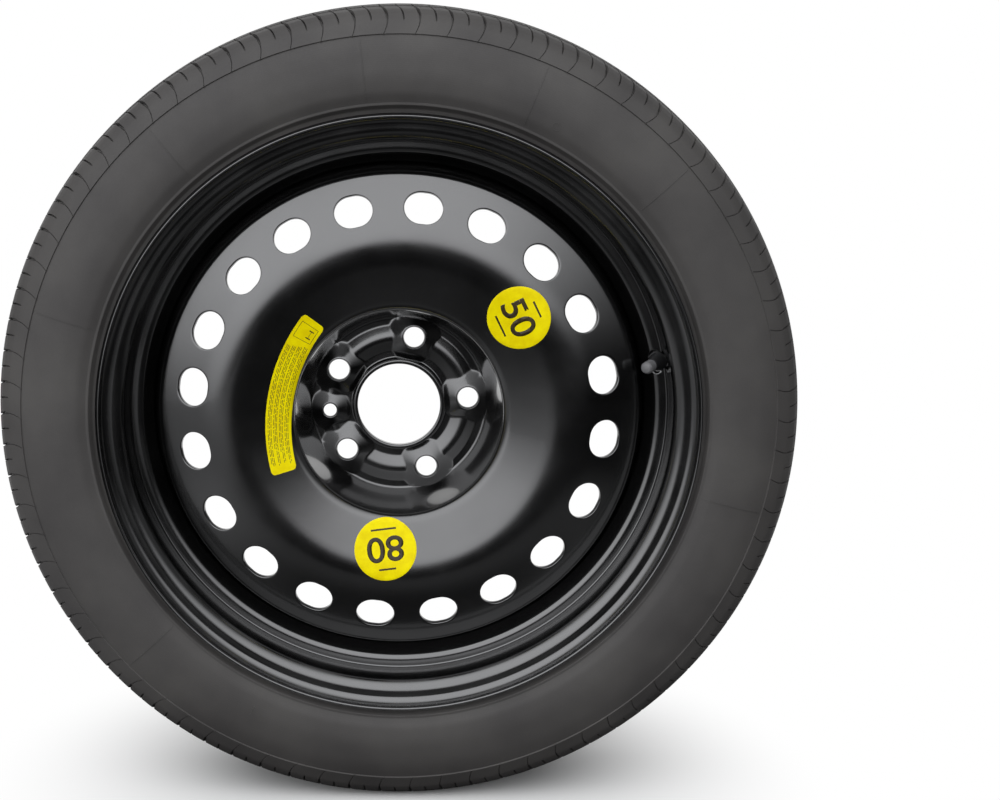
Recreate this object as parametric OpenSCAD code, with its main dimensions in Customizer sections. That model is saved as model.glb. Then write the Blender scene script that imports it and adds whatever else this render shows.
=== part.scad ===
// Space saver spare wheel: a narrow tyre on a welded steel wheel.
// The axle runs along Y, the outboard face looks to -Y and the origin
// is on the axle in the middle of the rim.
// Sections are drawn as [radius, outboard distance] and turned about the axle.

/* [Rim] */
// Bead seat diameter
bead_d = 436.6; // [400:0.1:480]
// Width between the flanges on the tyre side
rim_w = 101.6; // [88:0.1:130]
// Height of the flange above the bead seat
flange_h = 17.3; // [15:0.1:20]
// Curl radius of the flange
curl_r = 9.5; // [8:0.1:11]
// Sheet thickness of the rim band
rim_t = 3.0; // [2.4:0.1:3.6]
// Depth of the well below the bead seat
well_drop = 19.3; // [15:0.1:24]
// Width from the outboard flange to the well floor
well_out_gap = 45.3; // [43:0.1:48]
// Width from the inboard flange to the well floor
well_in_gap = 31.3; // [30:0.1:33]

/* [Wheel disc] */
// Sheet thickness of the pressed disc
disc_t = 3.5; // [2.8:0.1:4.5]
// Outboard level of the hub plate
hub_z = -11.5; // [-20:0.5:0]
// Height of the bore's lip above the hub plate
lip_h = 6.5; // [4:0.1:9]
// Radius of the centre bore
bore_r = 33.3; // [28:0.1:36]
// Bolt circle diameter
pcd = 112; // [108:0.5:116]
// Number of wheel bolts
lug_count = 5; // [3:1:6]
// Radius of a bolt hole
lug_r = 8.1; // [6.5:0.05:8.5]
// Angle of the first bolt hole
lug_phase = 5.5; // [0:0.5:72]
// Height of a bolt pad above the hub plate
pad_h = 7.5; // [5:0.1:9]
// Radius of a bolt pad at its foot
pad_r = 17.1; // [16:0.1:20]
// Radius of the locating pin hole
pin_hole_r = 5.2; // [3:0.1:6]
// Angle of the locating pin hole
pin_hole_phase = 185; // [180:0.5:190]
// Width from the bolt circle to the bowl's wall
bowl_gap = 27; // [24:0.5:34]
// Height of the bowl's rim above the hub plate
bowl_h = 48.6; // [40:0.1:56]
// Rise of the inner slope towards the crest, degrees
inner_slope = 13; // [8:0.5:18]
// Fall of the outer slope, degrees
outer_slope = 24; // [18:0.5:30]
// Place of the crest between the bowl and the edge, as a share
crest_share = 0.5263; // [0.45:0.01:0.6]
// Width from the disc's edge to the rim
edge_gap = 8.5; // [7:0.1:12]
// Depth of the disc's weld flange behind the middle of the rim
weld_flange = 12; // [9:0.5:13]

/* [Vents] */
// Number of vents, punched two at a time
vent_count = 20; // [10:2:24]
// Place of the vent circle between the crest and the edge, as a share
vent_share = 0.5111; // [0.45:0.01:0.56]
// Length of a vent along the circle
vent_len = 30; // [26:0.5:34]
// Width of a vent up the slope
vent_w = 26; // [20:0.5:28]
// Angle of the first pair's middle
vent_phase = 110.3; // [90:0.1:126]
// Indexing slip of each pair in degrees, as the press left it
vent_slip = [1.2, 0.55, -1.0, 0, 0, -0.1, -0.6, -0.2, 0, 0];

/* [Tyre] */
// Height of the section above the bead seat
section_h = 99.2; // [90:0.1:110]
// Section width
tyre_w = 127; // [118:0.5:140]
// Tread half width
tread_half = 41; // [36:0.5:44]
// Fall of the crown at the tread edge
crown_drop = 4.8; // [1:0.1:6]
// Crown thickness from cavity to tread
crown_t = 11.7; // [10:0.1:14]
// Wall thickness where the tyre is widest
wall_t = 9.4; // [8:0.1:11]
// Air between the tyre's bead and the rim
bead_gap = 0.2; // [0.2:0.05:0.5]
// Depth of the circumferential grooves
groove_d = 4.5; // [3:0.1:6]
// Width of the circumferential grooves
groove_w = 5; // [3:0.5:6]
// Shoulder groove pitches round the tyre
pitches = 78; // [60:1:84]
// Depth of a shoulder groove
slot_d = 1.8; // [1:0.1:2.5]
// Width of a shoulder groove
slot_w = 1.5; // [1:0.1:2.5]

/* [Valve] */
// Angle of the valve round the rim
valve_phase = 10.9; // [0:0.1:30]
// Lean of the valve towards the axle
valve_lean = 30; // [25:0.5:35]
// Radius of the hole in the rim
valve_hole_r = 5.65; // [5.5:0.05:5.8]
// Radius of the round seat pressed into the rim for the valve
valve_seat_r = 8.8; // [8:0.1:9.5]
// Length of the rubber above the rim
stem_l = 15; // [12:0.5:20]
// Length of the bare brass end
tip_l = 9.5; // [8:0.5:11]
// Thread radius at the brass end
thread_r = 3.85; // [3.6:0.05:4.1]
// Outside radius of the cap
cap_r = 4.85; // [4.6:0.05:5.4]
// Radial play of the cap on the brass end
cap_play = 0.05; // [0.02:0.01:0.1]
// Radius of the core pin
pin_r = 0.6; // [0.5:0.05:0.8]
// Radial play of the core pin
pin_play = 0.05; // [0.02:0.01:0.1]

/* [Stickers] */
// Thickness of the vinyl
vinyl_t = 0.2; // [0.1:0.05:0.4]
// Glue line under the vinyl
glue_t = 0.03; // [0.01:0.01:0.05]
// Radius of a round sticker
dot_r = 24.7; // [20:0.1:28]
// Inner radius of the long label about its own centre
label_in = 128; // [124:0.5:132]
// Outer radius of the long label about its own centre
label_out = 148; // [140:0.5:152]

/* [Hidden] */
$fn = 180;
arc_step = 12;
seat_r = bead_d / 2;
half_w = rim_w / 2;
curl_c = [seat_r + flange_h - curl_r, half_w + curl_r];
well_r = seat_r - well_drop;
well_out = half_w - well_out_gap;
well_in = half_w - well_in_gap;
rim_in_r = well_r - rim_t;
bolt_r = pcd / 2;
bowl_r = bolt_r + bowl_gap;
edge_r = rim_in_r - edge_gap;
crest_r = bowl_r + crest_share * (edge_r - bowl_r);
vent_pcr = crest_r + vent_share * (edge_r - crest_r);
hub_back = hub_z - disc_t;
tyre_r = seat_r + section_h;
half_t = tyre_w / 2 + 0.5;
guard = [curl_c[0] + curl_r + 7.6, curl_c[1] - 0.4];
rise = tyre_r - guard[0];
dot_upper = (bowl_r + 38.1) * [cos(39.8), sin(39.8)];
dot_lower = (bowl_r + 25.7) * [cos(264.35), sin(264.35)];
label_c = label_in * [0.3359375, -0.08046875];

// Unit vector along v.
function unit(v) = v / norm(v);
// Vector v turned by angle q.
function spun(v, q) = [v[0] * cos(q) - v[1] * sin(q), v[0] * sin(q) + v[1] * cos(q)];
// First two numbers of p.
function xy(p) = [p[0], p[1]];
// Left-hand normal of the step from a to b.
function nrm(a, b) = let (u = unit(b - a)) [-u[1], u[0]];
// Angle turned at b when going from a to c.
function bend(a, b, c) =
    let (u = unit(b - a), w = unit(c - b))
    atan2(u[0] * w[1] - u[1] * w[0], u * w);
// Points that round the corner b with radius r.
function corner(a, b, c, r) =
    let (q = bend(a, b, c))
    r < 0.01 || abs(q) < 0.5 ? [b] :
    let (u = unit(b - a),
         p = b - u * r * tan(abs(q) / 2),
         n = [-u[1], u[0]] * sign(q),
         k = max(2, ceil(abs(q) / arc_step)))
    [for (i = [0:k]) p + n * r + spun(-n * r, q * i / k)];
// Length that the rounding of corner i takes from each of its two sides.
function taken(P, i) =
    i == 0 || i == len(P) - 1 ? 0 :
    P[i][2] * tan(abs(bend(xy(P[i - 1]), xy(P[i]), xy(P[i + 1]))) / 2);
// Rounding of corner i, smaller where its sides are too short for it.
function fitted(P, i) =
    let (before = norm(xy(P[i]) - xy(P[i - 1])),
         after = norm(xy(P[i + 1]) - xy(P[i])))
    P[i][2] * min(1, 0.98 * before / (taken(P, i - 1) + taken(P, i)),
                  0.98 * after / (taken(P, i) + taken(P, i + 1)));
// Path through corners given as [radius, distance, rounding].
function smooth(P) =
    [for (i = [0:len(P) - 1])
        each i == 0 || i == len(P) - 1 ? [xy(P[i])] :
            corner(xy(P[i - 1]), xy(P[i]), xy(P[i + 1]), fitted(P, i))];
// Path Q moved to its left by d.
function side(Q, d) =
    [for (i = [0:len(Q) - 1])
        let (n1 = i > 0 ? nrm(Q[i - 1], Q[i]) : nrm(Q[0], Q[1]),
             n2 = i < len(Q) - 1 ? nrm(Q[i], Q[i + 1]) : n1,
             m = n1 + n2)
        Q[i] + m * (2 * d / (m * m))];
// List in the opposite order.
function back(L) = [for (i = [len(L) - 1:-1:0]) L[i]];
// Closed outline of a sheet that lies to the right of path Q.
function sheet(Q, t) = concat(Q, back(side(Q, -t)));
// Path mirrored from the outboard to the inboard side.
function swap(Q) = [for (p = Q) [p[0], -p[1]]];
// Points on the flange curl between two multiples of the arc step.
function curl(a, b) =
    [for (q = [a:-arc_step:b]) curl_c + curl_r * [cos(q), sin(q)]];
// Bead seat radius at distance z, on its five degree taper.
function seat(z) = seat_r - (half_w - z) * tan(5);
// Tread radius at distance z.
function crown(z) = tyre_r - crown_drop * pow(z / tread_half, 2);
// Tyre radius at share s of the height from the guard rib to the tread.
function up(s) = guard[0] + s * rise;
// Distance at share s from the tread's edge out to the step line.
function out(s) = tread_half + s * (half_t - 6 - tread_half);

// Rim section on its tyre side, from the outboard to the inboard lip.
heel = [[curl_c[0], half_w, 0], [seat_r, half_w, 6.5]];
rim_path = concat(
    curl(18, -78),
    smooth(concat(heel, [
        [seat(half_w - 20.8), half_w - 20.8, 6],
        [seat(half_w - 20.8) + 1.0, half_w - 24.4, 5],
        [seat_r - 2.3, half_w - 33.8, 4.5],
        [seat_r - 12.1, half_w - 33.8, 4],
        [well_r, well_out, 6],
        [well_r, -well_in, 5],
        [seat_r - 0.4, 24.3 - half_w, 4],
        [seat(half_w - 19.3), 19.3 - half_w, 4],
        [seat_r, -half_w, 6.5],
        [curl_c[0], -half_w, 0]])),
    swap(back(curl(18, -78))));

// Disc section on its outboard side, from the bore to the weld flange.
bowl_z = hub_z + bowl_h;
crest_z = bowl_z + (crest_r - bowl_r) * tan(inner_slope);
edge_z = crest_z - (edge_r - crest_r) * tan(outer_slope);
disc_path = smooth([
    [bore_r + disc_t, hub_z + lip_h, 0],
    [bore_r + disc_t, hub_z, 2],
    [bore_r + 10.7, hub_z, 2.5],
    [bore_r + 15.3, hub_z + 4, 9],
    [bolt_r + 3.6, hub_z + 4, 9],
    [bolt_r + 8.7, hub_z, 1.5],
    [bolt_r + 12, hub_z, 1.5],
    [bolt_r + 14, hub_z + 3.5, 4.5],
    [bowl_r - 7, hub_z + 3.9, 4.2],
    [bowl_r, bowl_z, 8],
    [crest_r, crest_z, 60],
    [edge_r, edge_z, 14],
    [rim_in_r, well_out - 1.5, 15],
    [rim_in_r, -weld_flange, 0]]);
slope_path = [for (p = disc_path)
    if (p[0] > bowl_r - 1 && p[0] < crest_r + 12 && p[1] > bowl_z - 9) p];

// Tyre section, drawn for the outboard side and mirrored.
bead_path = side(concat(
    curl(-30, -78),
    smooth(concat(heel, [[seat(half_w - 17.8), half_w - 17.8, 0]]))), bead_gap);
toe = bead_path[len(bead_path) - 1];
shoulder_path = [
    [up(0.673), half_t - 6.8],
    [up(0.682), out(1)],
    [up(0.821), out(0.676)],
    [up(0.891), out(0.365)],
    [crown(tread_half), tread_half],
    [crown(tread_half - 5), tread_half - 5]];
wall_path = smooth([
    concat(bead_path[0], [0]),
    [guard[0] - 4.8, guard[1] - 3.5, 3],
    [guard[0] - 2, guard[1], 0.8],
    [guard[0], guard[1], 0.8],
    [up(0.0915), guard[1] + 0.66 * (half_t - guard[1]), 20],
    [up(0.266), half_t, 60],
    [up(0.536), half_t - 2.8, 60],
    [up(0.673), half_t - 6.8, 0]]);
// Half of a groove floor and wall centred at distance z.
function groove(z) =
    [[crown(z + groove_w / 2), z + groove_w / 2],
     [crown(z) - groove_d, z + groove_w / 2 - 0.6],
     [crown(z) - groove_d, z - groove_w / 2 + 0.6],
     [crown(z - groove_w / 2), z - groove_w / 2]];
rib = tread_half / 41;
tread_path = concat(
    groove(29 * rib), [[crown(20 * rib), 20 * rib]],
    groove(10.5 * rib), [[crown(4 * rib), 4 * rib]]);
cavity_path = smooth([
    concat(toe, [0]),
    [toe[0] + 1.5, toe[1] - 1.6, 1],
    [seat_r + 6.7, half_w - 15.2, 5],
    [seat_r + 18.7, half_w - 4.8, 10],
    [up(0.253), half_t - wall_t, 40],
    [up(0.603), half_t - wall_t - 3.4, 25],
    [tyre_r - crown_t - 0.9, tread_half - 5, 16],
    [tyre_r - crown_t, 0, 0]]);
tyre_half = concat(
    back(cavity_path), [for (i = [len(bead_path) - 2:-1:0]) bead_path[i]],
    [for (i = [1:len(wall_path) - 2]) wall_path[i]],
    shoulder_path, tread_path);
tyre_outline = concat(tyre_half, swap(back([for (i = [1:len(tyre_half) - 1]) tyre_half[i]])));

// Stands the drawn axle along Y with the outboard side to -Y.
module on_axle() {
    rotate([90, 0, 0]) children();
}

// Turns a section about the axle.
module turned(outline, a = 360) {
    rotate_extrude(angle = a) polygon(outline);
}

// Valve frame: origin on the rim's outboard surface at the hole.
module at_valve() {
    rotate([0, 0, valve_phase])
        translate([seat_r - 9, 0, half_w - 34 + rim_t])
            rotate([0, -valve_lean, 0])
                children();
}

// Wedges that cut the shoulder grooves of one side.
module shoulder_slots() {
    cut_path = [[up(0.678), out(1) + 0.2], shoulder_path[2], shoulder_path[3], shoulder_path[5]];
    band = concat(side(cut_path, 3), back(side(cut_path, -slot_d)));
    wide = slot_w / tyre_r * 180 / PI;
    for (i = [0:pitches - 1])
        rotate([0, 0, i * 360 / pitches]) turned(band, wide);
}

// The tyre, one moulding, with its grooved shoulders.
module tyre() {
    color([0.09, 0.09, 0.09]) on_axle() {
        difference() {
            turned(tyre_outline);
            shoulder_slots();
            mirror([0, 0, 1]) shoulder_slots();
        }
    }
}

// Everything on the tyre side of the rim's outboard surface, near the valve.
module behind_ledge() {
    face = [for (p = side(rim_path, -rim_t)) if (p[1] > 0 && p[1] < half_w && p[0] < seat_r) p];
    turned(concat(face, [[well_r - rim_t, -5], [seat_r + 8, -5], [seat_r + 8, half_w - 10]]));
}

// The rolled rim band with a round seat pressed into its ledge for the valve.
module rim() {
    color([0.03, 0.03, 0.03]) on_axle() {
        difference() {
            union() {
                turned(sheet(rim_path, rim_t));
                intersection() {
                    behind_ledge();
                    at_valve() translate([0, 0, -rim_t])
                        cylinder(r = valve_seat_r + rim_t, h = rim_t + 14, $fn = 72);
                }
            }
            at_valve() cylinder(r = valve_seat_r, h = 25, $fn = 72);
            at_valve() translate([0, 0, -7]) cylinder(r = valve_hole_r, h = 14, $fn = 64);
        }
    }
}

// Bolt pad: a raised cone, with its seat and its hollow back cut later.
module pad(foot, height) {
    translate([bolt_r, 0, hub_z - 1])
        cylinder(r1 = foot + 1, r2 = foot - height, h = height + 1, $fn = 96);
}

// What a bolt pad loses: the seat, the hole and the hollow behind the pressing.
module pad_cuts(foot, height, hole, seat_top, seat_depth) {
    translate([bolt_r, 0, 0]) {
        translate([0, 0, hub_z + height - seat_depth])
            cylinder(r1 = hole, r2 = seat_top, h = seat_depth, $fn = 96);
        translate([0, 0, hub_back - 5])
            cylinder(r = hole, h = 25, $fn = 96);
        translate([0, 0, hub_back - 1])
            cylinder(r1 = foot - 1.5, r2 = foot - 6.5, h = 5, $fn = 96);
    }
}

// One vent tool: a slot with round ends, square to the outer slope.
module vent() {
    z = crest_z - (vent_pcr - crest_r) * tan(outer_slope);
    reach = (vent_len - vent_w) / 2;
    translate([vent_pcr, 0, z]) rotate([0, outer_slope, 0]) {
        for (s = [-1, 1])
            translate([0, s * reach, -10]) cylinder(d = vent_w, h = 20, $fn = 72);
        translate([-vent_w / 2, -reach, -10]) cube([vent_w, 2 * reach, 20]);
    }
}

// The pressed disc with its bowl, pads, seats and vents.
module wheel_disc() {
    pairs = vent_count / 2;
    color([0.03, 0.03, 0.03]) on_axle() {
        difference() {
            union() {
                turned(sheet(disc_path, disc_t));
                for (i = [0:lug_count - 1])
                    rotate([0, 0, lug_phase + i * 360 / lug_count]) pad(pad_r, pad_h);
                rotate([0, 0, pin_hole_phase]) pad(13, 6);
            }
            for (i = [0:lug_count - 1])
                rotate([0, 0, lug_phase + i * 360 / lug_count])
                    pad_cuts(pad_r, pad_h, lug_r, lug_r + 0.9, 2.5);
            rotate([0, 0, pin_hole_phase]) pad_cuts(13, 6, pin_hole_r, pin_hole_r + 0.8, 1);
            for (i = [0:pairs - 1], s = [-0.5, 0.5])
                rotate([0, 0, vent_phase + (i + s / 2) * 360 / pairs + vent_slip[i]])
                    vent();
            translate([0, 0, hub_back - 1]) cylinder(r = bore_r, h = 20);
        }
    }
}

// Eight weld runs that hold the disc's flange in the well.
module weld_beads() {
    color([0.05, 0.05, 0.05]) on_axle() {
        for (i = [0:7])
            rotate([0, 0, 10 + i * 45])
                turned([[rim_in_r, -weld_flange], [rim_in_r - disc_t + 0.3, -weld_flange],
                        [rim_in_r - 1.6, -weld_flange - 3], [rim_in_r, -weld_flange - 4]], 25);
    }
}

// Snap-in rubber body of the valve.
module valve_rubber() {
    color([0.06, 0.06, 0.06]) on_axle() at_valve()
        rotate_extrude($fn = 64) polygon([
            [2.6, -12], [6, -12], [8, -8.5], [8, -5], [valve_hole_r, -rim_t],
            [valve_hole_r, 0], [7.3, 0.2], [7.3, 1.4], [6.2, 4.2], [5.4, 10],
            [4.9, stem_l - 0.6], [4.3, stem_l], [2.6, stem_l]]);
}

// Brass barrel moulded into the rubber, open at both ends.
module valve_tube() {
    top = stem_l + tip_l;
    color([0.72, 0.55, 0.25]) on_axle() at_valve()
        rotate_extrude($fn = 64) polygon([
            [1.5, -12], [2.6, -12], [2.6, stem_l], [thread_r, stem_l],
            [thread_r, top - 0.5], [thread_r - 0.5, top], [2, top], [2, 8.5], [1.5, 8]]);
}

// Threaded bush of the valve core.
module core_body() {
    top = stem_l + tip_l - 3;
    color([0.75, 0.6, 0.3]) on_axle() at_valve()
        rotate_extrude($fn = 48) polygon([
            [pin_r + pin_play, top - 5], [2, top - 5], [2, top - 0.4], [1.6, top],
            [pin_r + pin_play, top]]);
}

// Rubber seal under the valve core's bush.
module core_seal() {
    top = stem_l + tip_l - 8;
    color([0.1, 0.1, 0.1]) on_axle() at_valve()
        rotate_extrude($fn = 48) polygon([
            [pin_r + pin_play, top - 1.6], [1.5, top - 1.6], [2, top - 0.6], [2, top],
            [pin_r + pin_play, top]]);
}

// Core pin with its closing cup.
module core_pin() {
    top = stem_l + tip_l - 1;
    cup = stem_l + tip_l - 9.65;
    color([0.75, 0.6, 0.3]) on_axle() at_valve()
        rotate_extrude($fn = 48) polygon([
            [0, cup - 1.5], [1.2, cup - 1.5], [1.2, cup], [pin_r, cup],
            [pin_r, top - 0.2], [pin_r - 0.2, top], [0, top]]);
}

// Screw cap over the brass end.
module valve_cap() {
    in = thread_r + cap_play;
    roof = stem_l + tip_l + 0.6;
    color([0.45, 0.45, 0.47]) on_axle() at_valve()
        rotate_extrude($fn = 64) polygon([
            [in, stem_l + 0.2], [cap_r - 0.3, stem_l + 0.2], [cap_r, stem_l + 0.6],
            [cap_r, roof - 1.4], [cap_r - 0.5, roof + 0.2], [cap_r - 1.7, roof + 1.3],
            [1.4, roof + 1.8], [0, roof + 1.9], [0, roof], [in, roof]]);
}

// Sealing ring in the roof of the cap.
module cap_seal() {
    top = stem_l + tip_l;
    color([0.1, 0.1, 0.1]) on_axle() at_valve()
        rotate_extrude($fn = 64) polygon([
            [2.2, top + 0.02], [thread_r + cap_play, top + 0.02],
            [thread_r + cap_play, top + 0.6], [2.2, top + 0.6]]);
}

// Vinyl skin over the slope of the disc, on its glue line.
module skin() {
    turned(concat(side(slope_path, glue_t), back(side(slope_path, glue_t + vinyl_t))));
}

// Round sticker laid on the slope.
module dot(at) {
    color([0.95, 0.85, 0.02]) on_axle()
        intersection() {
            skin();
            translate([at[0], at[1], 20]) cylinder(r = dot_r, h = 40, $fn = 96);
        }
}

// Round sticker above the hub.
module sticker_upper() {
    dot(dot_upper);
}

// Round sticker below the hub.
module sticker_lower() {
    dot(dot_lower);
}

// Long bent label beside the bowl.
module label_arc() {
    color([0.95, 0.85, 0.02]) on_axle()
        intersection() {
            skin();
            translate([label_c[0], label_c[1], 20])
                rotate([0, 0, 142]) rotate_extrude(angle = 53)
                    translate([label_in, 0]) square([label_out - label_in, 40]);
        }
}

tyre();
rim();
wheel_disc();
weld_beads();
valve_rubber();
valve_tube();
core_body();
core_seal();
core_pin();
valve_cap();
cap_seal();
sticker_upper();
sticker_lower();
label_arc();
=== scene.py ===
"""Dresses a space saver spare wheel: narrow tyre, welded steel wheel, valve and vinyl.

Lengths inside the builders are millimetres. A section point is (radius, distance), where
the distance runs outboard from the middle of the rim, which is -Y in the frame.
"""

import logging
import math
from dataclasses import dataclass
from enum import Enum
from typing import Any, Callable, Sequence

import bmesh
import bpy
import numpy as np
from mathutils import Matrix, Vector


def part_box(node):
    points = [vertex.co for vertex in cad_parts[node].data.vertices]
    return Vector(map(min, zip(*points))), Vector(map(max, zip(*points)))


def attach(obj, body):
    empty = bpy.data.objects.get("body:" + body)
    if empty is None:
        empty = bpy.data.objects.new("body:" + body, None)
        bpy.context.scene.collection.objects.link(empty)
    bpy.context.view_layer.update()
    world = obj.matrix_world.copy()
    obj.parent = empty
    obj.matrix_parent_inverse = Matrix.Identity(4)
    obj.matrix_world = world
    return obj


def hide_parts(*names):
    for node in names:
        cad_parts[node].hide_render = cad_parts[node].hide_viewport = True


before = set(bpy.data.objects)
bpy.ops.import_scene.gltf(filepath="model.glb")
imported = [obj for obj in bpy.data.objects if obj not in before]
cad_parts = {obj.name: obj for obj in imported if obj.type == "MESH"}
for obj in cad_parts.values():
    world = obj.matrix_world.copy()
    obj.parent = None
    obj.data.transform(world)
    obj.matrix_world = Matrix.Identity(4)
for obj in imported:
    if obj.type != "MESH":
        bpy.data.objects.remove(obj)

MM = 0.001
WHEEL = "wheel"
CAP = "cap"
LOG = logging.getLogger("spare_wheel")

Corner = tuple[float, float, float]
Section = np.ndarray
Points = np.ndarray


# Sections


def fillet(corners: Sequence[Corner], step: float = 5.0) -> Section:
    """Rounds the corners of a path.

    Args:
        corners: Radius, distance and rounding of each corner.
        step: Degrees turned by one piece of a rounding.

    Returns:
        The path's points, two numbers each.
    """
    points = [np.array(corners[0][:2], float)]
    for before, here, after in zip(corners, corners[1:], corners[2:]):
        p, q, s = (np.array(c[:2], float) for c in (before, here, after))
        u = (q - p) / np.linalg.norm(q - p)
        w = (s - q) / np.linalg.norm(s - q)
        turn = math.atan2(u[0] * w[1] - u[1] * w[0], float(u @ w))
        if here[2] < 0.01 or abs(turn) < math.radians(0.5):
            points.append(q)
            continue
        start = q - u * here[2] * math.tan(abs(turn) / 2)
        arm = -np.array([-u[1], u[0]]) * math.copysign(here[2], turn)
        count = max(2, math.ceil(abs(turn) / math.radians(step)))
        for k in range(count + 1):
            c, d = math.cos(turn * k / count), math.sin(turn * k / count)
            points.append(start - arm + [arm[0] * c - arm[1] * d, arm[0] * d + arm[1] * c])
    points.append(np.array(corners[-1][:2], float))
    return np.array(points)


def spaced(path: Section, gap: float,
           fine: tuple[float, float, float] | None = None) -> Section:
    """Adds points to a path so that no step is longer than the gap.

    Args:
        path: The path.
        gap: Longest step.
        fine: Two distances, and the longest step of what lies between them.

    Returns:
        The path with its added points.
    """
    out = [path[0]]
    for a, b in zip(path, path[1:]):
        near = fine is not None and fine[0] < (a[1] + b[1]) / 2 < fine[1]
        n = max(1, math.ceil(np.linalg.norm(b - a) / (fine[2] if near else gap)))
        out += [a + (b - a) * k / n for k in range(1, n + 1)]
    return np.array(out)


def normals_of(path: Section) -> Section:
    """Left-hand unit normals at the points of an open path."""
    run = np.gradient(path, axis=0)
    side = np.stack([-run[:, 1], run[:, 0]], axis=1)
    return side / np.linalg.norm(side, axis=1, keepdims=True)


def shifted(path: Section, d: float) -> Section:
    """Moves an open path to its left by d, with mitred corners."""
    run = np.diff(path, axis=0)
    n = np.stack([-run[:, 1], run[:, 0]], axis=1) / np.linalg.norm(run, axis=1, keepdims=True)
    m = np.vstack([n[:1], n[:-1] + n[1:], n[-1:]])
    scale = np.full(len(path), 1.0)
    scale[1:-1] = 2 / (m[1:-1] ** 2).sum(1)
    return path + m * scale[:, None] * d


def arc(centre: Sequence[float], radius: float, start: float, end: float,
        step: float = 6) -> Section:
    """Points on an arc between two angles in degrees."""
    n = max(2, math.ceil(abs(end - start) / step))
    q = np.radians(np.linspace(start, end, n + 1))
    return np.array(centre) + radius * np.stack([np.cos(q), np.sin(q)], axis=1)


def swapped(path: Section) -> Section:
    """The same path on the inboard side, in the opposite order."""
    return path[::-1] * [1, -1]


def rise(degrees: float) -> float:
    """Rise over run of a slope."""
    return math.tan(math.radians(degrees))


def softened(over: np.ndarray, blend: float) -> np.ndarray:
    """max(over, 0) with a corner rounded over blend to either side."""
    return np.where(over <= -blend, 0,
                    np.where(over >= blend, over, (over + blend) ** 2 / (4 * blend)))


def about_axle(r: Any, angle: Any, z: Any) -> Points:
    """Turns section places at angles in radians into frame points in millimetres."""
    r, angle, z = np.broadcast_arrays(r, angle, z)
    return np.stack([r * np.cos(angle), -z, r * np.sin(angle)], axis=-1)


# Meshes


class Skin:
    """A surface under construction: points in millimetres and the faces between them."""

    def __init__(self) -> None:
        """Starts with nothing."""
        self.points: list[Points] = []
        self.faces: list[tuple[int, ...]] = []
        self.count = 0

    def add(self, points: Points) -> np.ndarray:
        """Adds points and returns their numbers."""
        self.points.append(np.asarray(points, float).reshape(-1, 3))
        start, self.count = self.count, self.count + len(self.points[-1])
        return np.arange(start, self.count)

    def strip(self, a: np.ndarray, b: np.ndarray, closed: bool = True) -> None:
        """Joins two rows of the same length with four-sided faces."""
        if closed:
            a, b = np.append(a, a[0]), np.append(b, b[0])
        self.faces += np.stack([a[:-1], a[1:], b[1:], b[:-1]], axis=1).tolist()

    def halve(self, fine: np.ndarray, coarse: np.ndarray) -> None:
        """Joins a ring to one that has every second of its points."""
        f, g, h = fine[0::2], fine[1::2], np.roll(fine[0::2], -1)
        c, d = coarse, np.roll(coarse, -1)
        for rows in ((c, f, g), (c, g, d), (d, g, h)):
            self.faces += np.stack(rows, axis=1).tolist()

    def fan(self, ring: np.ndarray, tip: int) -> None:
        """Closes a ring onto one point."""
        nxt = np.roll(ring, -1)
        self.faces += [(int(a), int(b), tip) for a, b in zip(ring, nxt)]

    def box_along(self, line: Points, up: Points, width: float, low: float, high: float) -> None:
        """Adds a closed strip of rectangular section that follows a line.

        Args:
            line: Points of the middle line.
            up: Unit normals of the surface that carries it.
            width: Width across the line.
            low: Height of its underside over the surface.
            high: Height of its top over the surface.
        """
        side = np.cross(np.gradient(line, axis=0), up)
        side *= width / 2 / np.linalg.norm(side, axis=1, keepdims=True)
        rows = [self.add(line + side * s + up * h)
                for s, h in ((-1, low), (1, low), (1, high), (-1, high))]
        for a, b in zip(rows, rows[1:] + rows[:1]):
            self.strip(a, b, closed=False)
        for k in (0, -1):
            self.faces.append(tuple(int(row[k]) for row in rows))

    def piece(self, name: str, sharp: float = 38.0) -> bpy.types.Object:
        """Makes the Blender object.

        Args:
            name: Name of the object.
            sharp: Edges that turn by more degrees than this stay sharp.

        Returns:
            The object, in metres, with outward normals.
        """
        mesh = bpy.data.meshes.new(name)
        mesh.from_pydata((np.vstack(self.points) * MM).tolist(), [], self.faces)
        work = bmesh.new()
        work.from_mesh(mesh)
        bmesh.ops.recalc_face_normals(work, faces=work.faces)
        work.to_mesh(mesh)
        work.free()
        mesh.shade_smooth()
        mesh.set_sharp_from_angle(angle=math.radians(sharp))
        made = bpy.data.objects.new(name, mesh)
        bpy.context.scene.collection.objects.link(made)
        return made


def lathe(loop: Section, angles: np.ndarray,
          place: Callable[[Any, Any, Any], Points] = about_axle, closed: bool = True) -> Skin:
    """Turns a section about an axis.

    Args:
        loop: The section; an open one starts or ends on the axis.
        angles: Angles of the columns in radians.
        place: Gives the frame point of a radius, an angle and a height.
        closed: Whether the last point joins the first.

    Returns:
        The turned skin.
    """
    skin = Skin()
    rows = []
    for r, z in loop:
        on_axis = r < 1e-6
        rows.append(skin.add(place(r, angles[:1] if on_axis else angles, z)))
    pairs = list(zip(rows, rows[1:] + rows[:1])) if closed else list(zip(rows, rows[1:]))
    for a, b in pairs:
        if len(a) == 1 or len(b) == 1:
            skin.fan(b if len(a) == 1 else a, int((a if len(a) == 1 else b)[0]))
        else:
            skin.strip(a, b)
    return skin


def all_round(count: int, phase: float = 0.0) -> np.ndarray:
    """Evenly spaced angles in radians, from a phase in degrees."""
    return math.radians(phase) + np.arange(count) * 2 * math.pi / count


# Finishes


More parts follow.
